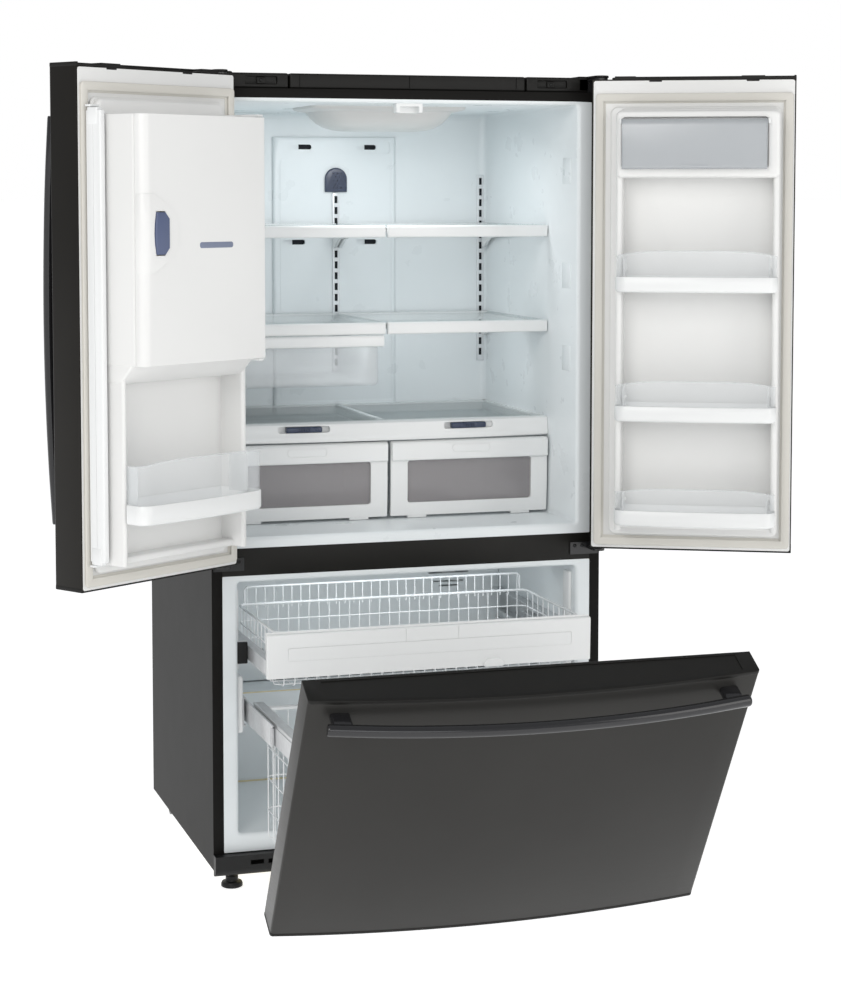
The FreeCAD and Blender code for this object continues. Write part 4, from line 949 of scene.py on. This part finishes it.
def upper_drawer_panel():
    """The upper drawer's front: a shallow recessed field with a groove round it, and two seams."""
    face = span("upper_drawer_front")
    section = [(face.y1, face.z0), (face.y0 + 3, face.z0)] + arc(face.y0 + 5, face.z1 - 8, 5, 180, 90, 5)
    section += [(face.y1 - 4, face.z1 - 3)] + arc(face.y1 - 3, face.z1 - 3, 3, 90, 0, 3)
    panel = extrude(section, "x", face.x0, face.x1, 2.5, 3)

    def recess(grow, corner, front, depth):
        outline = rounded(face.x0 + 46 - grow, face.x1 - 46 + grow, face.z0 + 37 - grow,
                face.z0 + 65 + grow, corner)
        return extrude(outline, "y", face.y0 - front, face.y0 + depth)

    field = recess(0, 4, 5, 0.9)
    outer = recess(0.8, 4, 5, 2.6)
    inner = recess(-0.6, 3, 9, 9)
    groove = cut(outer, inner)
    seams = [block(x - 0.7, x + 0.7, face.y0 - 5, face.y0 + 2, face.z0 + 66, face.z1 + 5, 0)
            for x in (-60, 60)]
    tab = slab(118, 164, face.z0 - 1, face.z0 + 17, "y", face.y0 - 4, face.y0 + 3, (3, 3, 14, 14),
            radius=1.5)
    put("upper_drawer_panel", merged([cut(cut(panel, groove, *seams), field), tab]), WHITE,
            "upper_drawer_front")


def slides():
    """The fixed and middle members of the drawers' rails."""
    fixed = []
    lower = [(380.6, 360), (380.6, 424), (374, 424), (374, 421.6), (378.6, 421), (378.6, 363), (374, 362.4),
            (374, 360)]
    fixed.append(extrude(lower, "y", RAIL_FRONT, RAIL_BACK, 0.4))
    upper = [(395.6, 500), (395.6, 552), (371, 552), (371, 549.4), (393, 549), (393, 503), (371, 502.6),
            (371, 500)]
    fixed.append(extrude(upper, "y", RAIL_FRONT, RAIL_BACK, 0.4))
    nose = block(371, 395, 14, 34, 502, 550, 2)
    put("rails_fixed", both(merged(fixed)), ZINC, "rail_outers")
    put("rail_noses", both(nose), BLACK, slot=None)
    middle = [(369, 368), (372.8, 368), (373.4, 371), (373.4, 413), (372.8, 416), (369, 416), (369, 414),
            (371.6, 412), (371.6, 372), (369, 370)]
    member = extrude(middle, "y", 24, 500, 0.4)
    stop = block(368.6, 374.2, 22, 36, 374, 410, 1)
    put("rails_middle", both(merged([member, stop])), ZINC, "rail_middles")


slides()
main_drawer()
upper_drawer_basket()
upper_drawer_panel()


# ---- doors and freezer front ----
HALF_WIDTH = case.x1
front_box = span("freezer_skin")
BACK = front_box.y1
BOW = 24.0
CAP_HIGH = 9.0


def front_y(x):
    """Where the bowed front lies, at a given x."""
    radius = (HALF_WIDTH ** 2 + BOW ** 2) / (2 * BOW)
    return front_box.y0 + radius - math.sqrt(radius ** 2 - x ** 2)


def bowed(x0, x1, inset=0.0, back=BACK, corner=6.0):
    """The plan of a door: straight back, bowed front, with its two front corners rounded."""
    x0, x1 = x0 + inset, x1 - inset
    points = [(x0, back)]
    turns = [90 * i / 4 for i in range(5)]
    for turn in turns:
        x = x0 + corner * (1 - cosine(turn))
        points.append((x, front_y(x) + inset + corner * (1 - sine(turn))))
    for i in range(1, 20):
        x = x0 + corner + (x1 - x0 - 2 * corner) * i / 20
        points.append((x, front_y(x) + inset))
    for turn in turns[::-1]:
        x = x1 - corner * (1 - cosine(turn))
        points.append((x, front_y(x) + inset + corner * (1 - sine(turn))))
    return points + [(x1, back)]


def seal_profile():
    """The section of a magnetic gasket: foot, bellows and magnet pocket, as (inset, y)."""
    return [(3, BACK - 0.4), (3, BACK + 1.5), (6, BACK + 2.5), (2, BACK + 4.2), (0.5, BACK + 6),
            (1.2, BACK + 8.6), (4, BACK + 9.6), (15, BACK + 9.6), (18, BACK + 8.4), (18.2, BACK + 6),
            (14, BACK + 4.4), (20, BACK + 3), (22.5, BACK + 1.2), (21, BACK - 0.4)]


def arc_bar(start, middle, end):
    """Points on the smooth bow from start to end through middle."""
    count = 28
    a, b, c = Vector(start), Vector(middle), Vector(end)
    chord = c - a
    rise = b - (a + c) / 2
    points = []
    for i in range(count + 1):
        t = i / count
        points.append(tuple(a + chord * t + rise * (1 - (2 * t - 1) ** 2)))
    return points


def bar_handle(path, radius, posts):
    """A bowed bar on rounded posts, its flat ends slightly drawn in."""
    ends = [radius * 0.88, radius * 0.97, radius]
    radii = ends + [radius] * (len(path) - 6) + ends[::-1]
    start, second = Vector(path[0]), Vector(path[1])
    points = [start + (second - start) * t for t in (0.0, 0.05, 0.14)]
    finish, before = Vector(path[-1]), Vector(path[-2])
    tail = [finish + (before - finish) * t for t in (0.14, 0.05, 0.0)]
    return merged([tube(points + list(path[3:-3]) + tail, radii, 20)] + posts)


def plate(x0, x1, z0, z1):
    """The inner panel's flat rim behind the gasket."""
    return slab(x0, x1, z0, z1, "y", BACK - 1, BACK + 0.6, 5, radius=0.5)


def freezer_front():
    box = front_box
    wrap = extrude(bowed(box.x0, box.x1, 0.3), "z", box.z0 + CAP_HIGH - 2, box.z1 - CAP_HIGH + 2, 0.6)
    put("freezer_wrap", wrap, LIT_FREEZER_STEEL, "freezer_skin")
    for label, low in (("top", box.z1 - CAP_HIGH), ("bottom", box.z0)):
        cap = extrude(bowed(box.x0, box.x1), "z", low, low + CAP_HIGH, 1.6, 3)
        if label == "top":
            pocket = extrude(bowed(box.x0 + 26, box.x1 - 26, 9, BACK - 8, 4), "z", low + CAP_HIGH - 1.2,
                    low + 20)
            cap = cut(cap, pocket)
        put("freezer_cap_" + label, cap, CAP, "freezer_skin")
    rim = plate(box.x0 + 4, box.x1 - 4, box.z0 + 5, box.z1 - 5)
    plug = slab(-357, 357, 130, 680, "y", BACK, 14, 18, steps=6, radius=6, segments=4)
    dish = slab(-335, 335, 152, 658, "y", 4, 30, 16, steps=6, radius=0)
    dish = round_edges(dish, [e for e in dish.edges if all(abs(v.co.y - 4) < 0.1 for v in e.verts)], 3, 3)
    ribs = [block(-337, 337, 2, 9, z, z + 4, 1.8) for z in (290, 400, 510)]
    put("freezer_inner_panel", merged([rim, cut(plug, dish)] + ribs), DOOR_WHITE, "freezer_panel")
    ears = [block(353, 359, -12, 5, 129, 147, 1.5), lathe([(4, 356), (4, 370)], (0, -4, 138), "x", 20)]
    put("freezer_pivots", both(merged(ears)), ZINC, "freezer_panel")
    seal = span("freezer_gasket")
    put("freezer_seal", frame_sweep(seal.x0, seal.x1, seal.z0, seal.z1, seal_profile(), 8), SEAL,
            "freezer_gasket")
    bar = span("freezer_handle")
    level = (bar.z0 + bar.z1) / 2
    reach = front_y(404) - 44
    path = arc_bar((bar.x0 + 3, reach + 8, level), (0, front_y(0) - 50, level),
            (bar.x1 - 3, reach + 8, level))
    posts = []
    for side in (-1, 1):
        x = side * 392
        posts.append(block(x - 19, x + 19, front_y(392) - 36, front_y(392) + 3, level - 8, level + 8, 5, 3))
    put("freezer_pull", bar_handle(path, 12, posts), HANDLE, "freezer_handle")


freezer_front()
door = span("left_skin")
dispenser = span("dispenser_housing")


def door_wrap(with_dispenser):
    wrap = extrude(bowed(door.x0, door.x1, 0.3), "z", door.z0 + CAP_HIGH - 2, door.z1 - CAP_HIGH + 2, 0.6)
    if with_dispenser:
        hole = block(dispenser.x0, dispenser.x1, -130, -28, dispenser.z0, dispenser.z1, 0)
        wrap = cut(wrap, hole)
    return wrap


def door_caps():
    """The top and bottom end caps: the top one is cut away round the hinge."""
    top = extrude(bowed(door.x0, door.x1), "z", door.z1 - CAP_HIGH, door.z1, 1.6, 3)
    recess = lathe([(42, -3), (42, 20)], (PIN_X, PIN_Y, door.z1 - 5.5), "z", 40)
    pocket = extrude([(-358, door.z1 + 5), (-358, door.z1 - 3), (-340, door.z1 - 6.5),
            (-150, door.z1 - 7.5), (-123, door.z1 - 4), (-123, door.z1 + 5)], "y", BACK - 26, BACK + 5)
    notch = block(-72, -8, BACK - 30, BACK + 5, door.z1 - 4, door.z1 + 5, 1)
    top = cut(top, recess, pocket, notch)
    stud = merged([block(x - 15, x + 15, BACK - 4, BACK + 0.8, door.z1 - 14, door.z1 - 8, 1.5)
            for x in (-98, -313)])
    bottom = extrude(bowed(door.x0, door.x1), "z", door.z0, door.z0 + CAP_HIGH, 1.6, 3)
    bore = lathe([(7, -3), (7, 20)], (PIN_X, PIN_Y, door.z0), "z", 20)
    return merged([top, stud]), cut(bottom, bore)


def door_shell(side, node):
    """What both doors share: wrap, caps, gasket and handle. side is -1 on the left."""
    turn = (lambda mesh: mesh) if side < 0 else mirrored
    label = node[:node.index("_")]
    put(label + "_door_wrap", turn(door_wrap(side < 0)), SHADED_DOOR_STEEL, node)
    top, bottom = door_caps()
    put(label + "_door_cap_top", turn(top), CAP, node)
    put(label + "_door_cap_bottom", turn(bottom), CAP, node)
    seal = span("left_gasket")
    sweep = frame_sweep(seal.x0, seal.x1, seal.z0, seal.z1, seal_profile(), 8)
    put(label + "_seal", turn(sweep), SEAL, label + "_gasket")
    bar = span("left_handle")
    x = (bar.x0 + bar.x1) / 2
    face = front_y(x)
    path = arc_bar((x, face - 34, bar.z0 + 2), (x, face - 54, (bar.z0 + bar.z1) / 2),
            (x, face - 34, bar.z1 - 2))
    posts = [block(x - 8, x + 8, face - 32, face + 3, z - 19, z + 19, 5, 3) for z in (888, 1664)]
    put(label + "_pull", turn(bar_handle(path, 11, posts)), HANDLE, label + "_handle")


door_shell(-1, "left_skin")
door_shell(1, "right_skin")

# ---- inside of the left door ----
ICE_LOW, ICE_HIGH = 1195.0, 1694.0
ICE_X0, ICE_X1 = -387.0, -34.0
LATCH_HIGH = 1458.0
PLUG_HALF, PLUG_LOW, PLUG_HIGH = 392.0, 789.0, 1730.0


def fluted_wall(x0, x1, y0, y1, z0, z1):
    return slab(x0, x1, y0, y1, "z", z0, z1, (2, 2, 6, 6), steps=5, radius=3, segments=3)


def inner_door(plug_front):
    """The flat rim, the plateau under the gasket's inner edge and the plug that enters the cabinet."""
    rim = plate(door.x0 + 3, door.x1 - 3, door.z0 + 4, door.z1 - 10)
    plateau = slab(-412, -34, 769, PLUG_HIGH, "y", BACK, -1.5, 16, steps=6, radius=5, segments=4)
    plug = slab(-PLUG_HALF, -36, PLUG_LOW, PLUG_HIGH - 4, "y", -4, plug_front, 14, steps=6, radius=8,
            segments=5)
    return [rim, plateau, plug]


def left_inside():
    shell = inner_door(16)
    ice_box = slab(ICE_X0, ICE_X1, 10, 117, "z", ICE_LOW, ICE_HIGH, (2, 2, 6, 6), radius=8, segments=4)
    room = block(ICE_X0 + 14, ICE_X1 - 14, 34, 160, ICE_LOW + 14, ICE_HIGH - 14, 6, 3)
    slope = extrude([(10, ICE_LOW + 12), (110, ICE_LOW + 12), (109, ICE_LOW + 2), (74, ICE_LOW - 34),
            (64, ICE_LOW - 38), (10, ICE_LOW - 38)], "x", ICE_X0 + 1, ICE_X1 - 1, 5, 3)
    walls = [
        fluted_wall(-PLUG_HALF, 14 - PLUG_HALF, 10, 78, PLUG_LOW + 2, ICE_LOW + 4),
        fluted_wall(-48, -36, 10, 78, PLUG_LOW + 2, ICE_LOW + 4),
        block(-PLUG_HALF + 2, -38, 10, 50, PLUG_LOW + 2, PLUG_LOW + 16, 5, 3),
    ]
    shell += [slope] + walls + [cut(ice_box, room)]
    put("left_inner_panel", merged(shell), DOOR_WHITE, "left_liner")
    lugs = []
    for low, pin in ((ICE_LOW - 6, ICE_LOW - 3), (ICE_HIGH + 1, ICE_HIGH - 10)):
        lugs.append(block(ICE_X0, -371, 60, 134, low, low + 5, 1.5))
        lugs.append(lathe([(2.5, 0), (2.5, 13)], (-378, 128, pin), "z", 12))
    lugs.append(block(ICE_X0, -371, 14, 90, ICE_HIGH - 1, ICE_HIGH + 6, 2))
    put("ice_door_lugs", merged(lugs), WHITE, "left_liner", slot="foamed_panel")


def ice_compartment():
    box = span("ice_door")
    panel = slab(box.x0, box.x1, 118, 142, "z", box.z0, box.z1, (2, 2, 20, 5), steps=8, radius=7,
            segments=4)
    middle = LATCH_HIGH
    shape = [(-36, middle - 80), (-60, middle - 80)] + arc(-60, middle, 71, 226, 134, 14)
    shape += [(-60, middle + 80), (-36, middle + 80)]
    inside_d = extrude(shape[1:-1] + [(-20, middle + 80), (-20, middle - 80)], "y", 90, 170)
    outside_d = cut(block(-260, -25, 100, 160, middle - 140, middle + 140, 0), inside_d)
    skin = slab(-200, box.x1 - 0.2, 119, 143.6, "z", middle - 79, middle + 79, (2, 2, 20, 2), steps=8,
            radius=1)
    latch_plate = cut(skin, outside_d)
    well = extrude([(-104, middle - 30), (-92, middle - 44), (-68, middle - 44), (-64, middle - 20),
            (-63, middle), (-64, middle + 20), (-68, middle + 44), (-92, middle + 44), (-104, middle + 30)],
            "y", 126, 160)
    groove = block(-34.6, -30, 110, 135, box.z0 + 20, box.z1 - 20, 0)
    put("ice_door_panel", cut(panel, groove, well), DOOR_WHITE, "ice_door", slot="white_plastic")
    put("ice_latch_plate", cut(latch_plate, well), DOOR_WHITE, "ice_door", slot="white_plastic")
    bar = slab(-287, -191, 1427, 1439, "y", 141.6, 142.4, 5, radius=0.3)
    put("ice_door_label", bar, LABEL, body="ice_door")
    button = span("ice_latch")
    outline = [(-103, middle - 29), (-91.5, middle - 42), (-69, middle - 42), (-65.4, middle - 20),
            (-64.6, middle), (-65.4, middle + 20), (-69, middle + 42), (-91.5, middle + 42),
            (-103, middle + 29)]
    put("ice_latch_button", extrude(outline, "y", 133, button.y1, 2.0, 3), SLATE, "ice_latch")
    pail = span("ice_bin")
    bucket = tub(shrinking(pail.x0, pail.x1, pail.y0, pail.y1, 12), pail.z0, pail.z1, 3, 10)
    put("ice_bucket", bucket, CLEAR, "ice_bin")
    maker = span("ice_maker")
    mould = block(maker.x0 + 30, maker.x1, maker.y0 + 6, maker.y1 - 4, maker.z0 + 8, maker.z1 - 16, 4, 3)
    cups = []
    for i in range(7):
        x = maker.x0 + 42 + i * 32
        cups.append(slab(x, x + 24, 50, 96, "z", maker.z0 + 24, maker.z1, 9))
    put("ice_mould", cut(mould, *cups), ZINC, "ice_maker", slot="white_plastic")
    head = block(maker.x0, maker.x0 + 32, maker.y0, maker.y1, maker.z0, maker.z1, 4, 3)
    arm = tube([(maker.x0 + 30, maker.y1 - 8, maker.z0 + 10), (maker.x1 - 20, maker.y1 - 8, maker.z0 - 14),
            (maker.x1 - 10, maker.y1 - 30, maker.z0 - 14), (maker.x1 - 10, maker.y1 - 40, maker.z0 + 12)],
            1.8, 8)
    put("ice_maker_head", merged([head, arm]), WHITE, "ice_maker")


# ---- bins ----
DIKE = 16.0
DIKE_FRONT = 84.0
BIN_BOW = 8.0


def bin_plan(x0, x1, y0, y1, bulge, corner):
    """A bin's plan: narrow between the dikes, wide in front of them, round corners and a bowed front."""
    middle, half = (x0 + x1) / 2, (x1 - x0) / 2
    points = [(x1 - DIKE, y0), (x1 - DIKE, DIKE_FRONT - 3), (x1 - DIKE + 3, DIKE_FRONT), (x1, DIKE_FRONT)]
    flat = y1 - bulge
    points += arc(x1 - corner, flat - corner, corner, 0, 90, 6)
    for i in range(1, 14):
        x = x1 - corner - (x1 - x0 - 2 * corner) * i / 14
        reach = 1 - ((x - middle) / (half - corner)) ** 2
        points.append((x, flat + bulge * reach))
    points += arc(x0 + corner, flat - corner, corner, 90, 180, 6)
    return points + [(x0, DIKE_FRONT), (x0 + DIKE - 3, DIKE_FRONT), (x0 + DIKE, DIKE_FRONT - 3),
            (x0 + DIKE, y0)]


def bin_base(x0, x1, y0, y1, low, high):
    def plan(inset):
        return bin_plan(x0 + inset, x1 - inset, y0 + inset, y1 - inset, BIN_BOW, max(26 - inset, 2))

    return tub(plan, low, high, 3, 7)


def bin_guard(x0, x1, y1, low, high, crown):
    """The clear guard: a bowed band open towards the door, its top edge crowned, with a rolled rim."""
    outer = bin_plan(x0, x1, 40, y1, BIN_BOW, 24)[3:-3]
    inner = bin_plan(x0 + 2.6, x1 - 2.6, 40, y1 - 2.6, BIN_BOW, 22)[3:-3]
    outline = outer + inner[::-1]
    middle, half = (x0 + x1) / 2, (x1 - x0) / 2
    tops = [high - crown * abs((u - middle) / half) ** 4 for u, _ in outline]
    count = len(outline)
    points = [(u, v, low) for u, v in outline] + [(u, v, t) for (u, v), t in zip(outline, tops)]
    faces = [[i, (i + 1) % count, count + (i + 1) % count, count + i] for i in range(count)]
    half_count = len(outer)
    for i in range(half_count - 1):
        j = count - 1 - i
        faces.append([i, i + 1, j - 1, j])
        faces.append([count + i, count + i + 1, count + j - 1, count + j])
    guard = fresh(points, faces)
    rim = tube([(u, v, t) for (u, v), t in zip(outer, tops)][1:-1], 1.6, 6)
    return merged([guard, rim])


def door_bin(label, node, x0, x1, y1, low, high, band, crown):
    put(label + "_base", bin_base(x0, x1, 18, y1, low, low + band), WHITE, node)
    guard = bin_guard(x0 + 2, x1 - 2, y1 - 2.5, low + band - 6, high, crown)
    put(label + "_guard", guard, CLEAR, node)
    ends = [block(x, x + 2.4, 44, DIKE_FRONT + 14, low + band - 6, high - crown - 4, 1)
            for x in (x0 + DIKE + 1, x1 - DIKE - 3.4)]
    put(label + "_ends", merged(ends), FROST, node)


def left_fittings():
    box = span("left_bin")
    door_bin("left_bin", "left_bin", box.x0, box.x1, box.y1, box.z0, box.z1, 40, 10)
    flap = span("mullion_flap")
    strip = slab(flap.x0, flap.x1, flap.y0, flap.y1, "z", flap.z0 + 12, flap.z1 - 12, 4, steps=4,
            radius=1.5)
    ends = [slab(flap.x0 + 5, flap.x0 + 34, flap.y0 - 1, flap.y1 + 1, "z", z, z + 34, 3, radius=2)
            for z in (flap.z0 + 6, flap.z1 - 40)]
    seam = block(flap.x0 + 21, flap.x0 + 22.2, flap.y0 - 2, flap.y0 + 1, flap.z0 + 20, flap.z1 - 40, 0)
    pin = lathe([(2.5, flap.z0), (2.5, flap.z1)], (-21, 8, 0), "z", 12)
    put("flap_strip", merged([cut(strip, seam), pin] + ends), WHITE, "mullion_flap")
    lugs = [block(-60, -14, 0, 15, z, z + 4.5, 1.2) for z in (flap.z0, flap.z1 - 4.5)]
    put("flap_lugs", merged(lugs), WHITE, "left_liner", slot="foamed_panel")


RECESS_TOP = 1440.0


def across_front(x0, x1, count, off):
    """Points across a door's bowed front, off in front of it or behind it."""
    points = []
    for i in range(count + 1):
        x = x0 + (x1 - x0) * i / count
        points.append((x, front_y(x) + off))
    return points


def dispenser_front():
    """The dispenser in the left door's outer face: control panel, recess, nozzle, tray."""
    box = dispenser
    top_of_recess = RECESS_TOP
    x0, x1 = box.x0, box.x1
    body = extrude(across_front(x0, x1, 12, -1.5) + [(x1, -27), (x0, -27)], "z", box.z0, box.z1, 1.5, 3)
    recess = slab(x0 + 10, x1 - 10, -140, -31, "z", box.z0 + 14, top_of_recess, (10, 10, 24, 24), steps=6)
    put("dispenser_body", cut(body, recess), PANEL_BLACK, "dispenser_housing")
    display_z = box.z1 - 38
    keys = []
    for count, first, pitch, half, low in ((6, 34, 28.4, 9, 84), (3, 52, 53, 18, 116)):
        for i in range(count):
            x = x0 + first + i * pitch
            keys.append(block(x - half, x + half, front_y(x) - 2.6, front_y(x) + 3, box.z1 - low,
                    box.z1 - low + 18, 2))
    put("dispenser_keys", merged(keys), TRAY_GREY, "dispenser_housing")
    middle = (x0 + x1) / 2
    glass_face = across_front(x0 + 34, x1 - 34, 8, -2.1) + across_front(x0 + 34, x1 - 34, 8, 2)[::-1]
    put("dispenser_display", extrude(glass_face, "z", display_z, display_z + 24, 0.4), LABEL,
            "dispenser_housing", slot="dispenser_plastic")
    nozzle = lathe([(11, 2), (11, -16), (9, -24), (7, -24), (7, -10), (0, -10)],
            (middle, -62, top_of_recess), "z", 24)
    lugs = [block(middle + s * 36 - 4, middle + s * 36 + 4, -54, -30, top_of_recess - 26, top_of_recess + 1,
            2) for s in (-1, 1)]
    put("dispenser_nozzle", merged([nozzle] + lugs), TRAY_GREY, "dispenser_housing")
    tray_low = box.z0 + 13
    tray = block(x0 + 16, x1 - 16, front_y(x0) + 6, -36, tray_low, tray_low + 9, 2)
    slits = [block(x - 2, x + 2, -76, -44, tray_low + 4, tray_low + 20, 1)
            for x in spaced(x0 + 28, x1 - 28, 10)]
    put("dispenser_tray", cut(tray, *slits), TRAY_GREY, "dispenser_housing")
    paddle = span("dispenser_paddle")
    leaf = slab(middle - 30, middle + 30, paddle.z0, paddle.z1 - 2, "y", -48.5, -44, (16, 16, 5, 5),
            steps=5, radius=1.6)
    axle = lathe([(3, paddle.x0), (3, paddle.x1)], (0, -46, 1423), "x", 16)
    put("paddle_leaf", merged([leaf, axle]), TRAY_GREY, "dispenser_paddle")


left_inside()
ice_compartment()
left_fittings()
dispenser_front()


# ---- inside of the right door: drawn on its own side ----
RIGHT_BINS = (("top", 1321, 1412), ("middle", 1037, 1127), ("bottom", 806, 890))


def right_inside():
    shell = [mirrored(part) for part in inner_door(12)]
    shell += [
        fluted_wall(36, 50, 8, 82, PLUG_LOW + 2, 1578),
        fluted_wall(PLUG_HALF - 14, PLUG_HALF, 8, 82, PLUG_LOW + 2, 1578),
        block(38, PLUG_HALF - 2, 8, 50, PLUG_LOW + 2, PLUG_LOW + 14, 5, 3),
    ]
    chest = slab(36, PLUG_HALF, 1571, 1718, "y", 8, 96, 12, steps=5, radius=8, segments=5)
    room = slab(60, 381, 1590, 1704, "y", 18, 130, 10, steps=5, radius=0)
    shell.append(cut(chest, room))
    for _, low, _ in RIGHT_BINS:
        for x in (50, PLUG_HALF - 22):
            shell.append(block(x, x + 8, 14, 66, low + 44, low + 52, 3))
    put("right_inner_panel", merged(shell), DOOR_WHITE, "right_liner")
    ears = []
    for ear, pin in ((57, 60), (379, 376)):
        ears.append(block(ear, ear + 5, 90, 110, 1688, 1700, 1.5))
        ears.append(lathe([(2.5, pin), (2.5, pin + 5)], (0, 105, 1694), "x", 12))
    put("dairy_ears", merged(ears), WHITE, "right_liner", slot="foamed_panel")


def dairy():
    box = span("dairy_cover")
    outer = [(box.y0 + 1, box.z1 - 1)] + arc(box.y1 - 16, box.z1 - 17, 16, 90, 0,
            8) + [(box.y1, box.z0 + 8)]
    outer += arc(box.y1 - 5, box.z0 + 5, 5, 0, -90, 4) + [(box.y0 + 4, box.z0)]
    inner = [(box.y0 + 4, box.z0 + 2.5)] + arc(box.y1 - 6, box.z0 + 6, 3.4, -90, 0, 4)
    inner += arc(box.y1 - 17, box.z1 - 18, 14, 0, 90, 8) + [(box.y0 + 1, box.z1 - 3.5)]
    lid = extrude(outer + inner, "x", box.x0, box.x1)
    side = extrude(outer, "x", box.x0, box.x0 + 2.6)
    other = moved(side, x=box.x1 - box.x0 - 2.6)
    grip = block(190, 252, box.y1 - 4, box.y1 + 1, box.z0 + 3, box.z0 + 9, 2)
    put("dairy_lid", merged([lid, side, other, grip]), DAIRY, "dairy_cover")


right_inside()
dairy()
bins = span("right_bins")
for bin_name, bin_low, bin_high in RIGHT_BINS:
    door_bin("right_bin_" + bin_name, "right_bins", bins.x0, bins.x1, bins.y1, bin_low, bin_high, 34, 12)


# ---- feet ----
def foot(label):
    node = "front_foot_" + label
    box = span(node)
    centre = (box.xm, (box.y0 + box.y1) / 2, 0)
    pad = [(0, 0), (21, 0), (24, 2), (24, 8), (22, 12), (15, 14), (14, 16), (14, 24), (12, 26), (6, 26)]
    for i in range(18):
        pad.append((6.0 if i % 2 else 5.2, 27 + i * 3))
    pad.append((0, 80))
    put(node + "_pad", lathe(pad, centre, "z", 28), BLACK, node)


foot("left")
foot("right")

# ---- CAD nodes that keep their own mesh ----
kept = {
    "door_hinges": ENAMEL, "foam_walls": FOAM, "base_grille": BLACK, "base_frame": ZINC, "compressor": ENAMEL,
    "condenser": FINS, "rear_cover": ZINC, "water_valve": WHITE, "cord_inlet": BLACK, "evaporator": FINS,
    "condenser_fan": BLACK, "evaporator_fan": WHITE, "rear_rollers": ROLLER,
}
for node_name, finish in kept.items():
    data = frame["nodes"][node_name].data
    data.materials.clear()
    data.materials.append(finish)


# ---- stage: floor, light and camera ----
def studio():
    bpy.ops.mesh.primitive_plane_add(size=900, location=(0, 0, 0))
    floor = bpy.context.object
    floor.name = "floor"
    paper = textured("floor_paper", (0.6, 0.6, 0.6), 0.7, vary=0.01, bump=0.02, specular=0.1)
    paper.node_tree.nodes["Principled BSDF"].inputs["Emission Color"].default_value = (1, 1, 1, 1)
    paper.node_tree.nodes["Principled BSDF"].inputs["Emission Strength"].default_value = 0.80
    floor.data.materials.append(paper)
    world = bpy.data.worlds.new("studio")
    bpy.context.scene.world = world
    world.use_nodes = True
    nodes, links = world.node_tree.nodes, world.node_tree.links
    back = nodes["Background"]
    back.inputs["Color"].default_value = (0.96, 0.98, 1.0, 1)
    back.inputs["Strength"].default_value = 0.42
    seen = nodes.new("ShaderNodeBackground")
    seen.inputs["Color"].default_value = (1, 1, 1, 1)
    seen.inputs["Strength"].default_value = 1.0
    path = nodes.new("ShaderNodeLightPath")
    mix = nodes.new("ShaderNodeMixShader")
    links.new(path.outputs["Is Camera Ray"], mix.inputs["Fac"])
    links.new(back.outputs["Background"], mix.inputs[1])
    links.new(seen.outputs["Background"], mix.inputs[2])
    links.new(mix.outputs["Shader"], nodes["World Output"].inputs["Surface"])


def softbox(name, place, target, wide, high, watts, tint=(1, 1, 1)):
    light = bpy.data.lights.new(name, "AREA")
    light.shape = "RECTANGLE"
    light.size = wide
    light.size_y = high
    light.energy = watts
    light.color = tint
    lamp_object = bpy.data.objects.new(name, light)
    bpy.context.scene.collection.objects.link(lamp_object)
    lamp_object.location = place
    aim = Vector(target) - Vector(place)
    lamp_object.rotation_euler = aim.to_track_quat("-Z", "Y").to_euler()


CAMERA_PLACE = (-1.4649, -4.7354, 1.5348)
CAMERA_DOWN, CAMERA_TURN = 4.306, -17.167
LENS, SENSOR, LENS_SHIFT = 81.58, 36, -0.1349


def camera():
    lens = bpy.data.cameras.new("camera")
    lens.sensor_width = SENSOR
    lens.lens = LENS
    lens.shift_y = LENS_SHIFT
    eye = bpy.data.objects.new("camera", lens)
    bpy.context.scene.collection.objects.link(eye)
    eye.location = CAMERA_PLACE
    eye.rotation_euler = (math.radians(90 - CAMERA_DOWN), 0, math.radians(CAMERA_TURN))
    bpy.context.scene.camera = eye


WARM, COOL = (1.0, 0.98, 0.95), (0.97, 0.985, 1.0)
MIDDLE = (0, 0, 0.9)
FACE_M = FACE * MM
studio()
softbox("key", (-3.2, -4.2, 3.4), MIDDLE, 2.6, 2.6, 84, WARM)
softbox("fill", (3.4, -4.6, 2.2), MIDDLE, 2.2, 3.0, 42, WARM)
softbox("front", (-0.6, -6.5, 2.2), MIDDLE, 3.5, 2.0, 38)
softbox("room_lamp", (0, FACE_M + 0.25, 1.67), (0, FACE_M + 0.40, 0.9), 0.26, 0.12, 1.25, COOL)
softbox("low_lamp", (0.05, FACE_M + 0.30, 1.195), (0.05, FACE_M + 0.62, 1.02), 0.5, 0.08, 0.35,
        (0.95, 0.98, 1.0))
softbox("cold_lamp", (0, FACE_M + 0.14, 0.675), (0, FACE_M + 0.42, 0.40), 0.6, 0.08, 0.45,
        (0.92, 0.97, 1.0))
camera()
bpy.context.scene.view_settings.view_transform = "Standard"
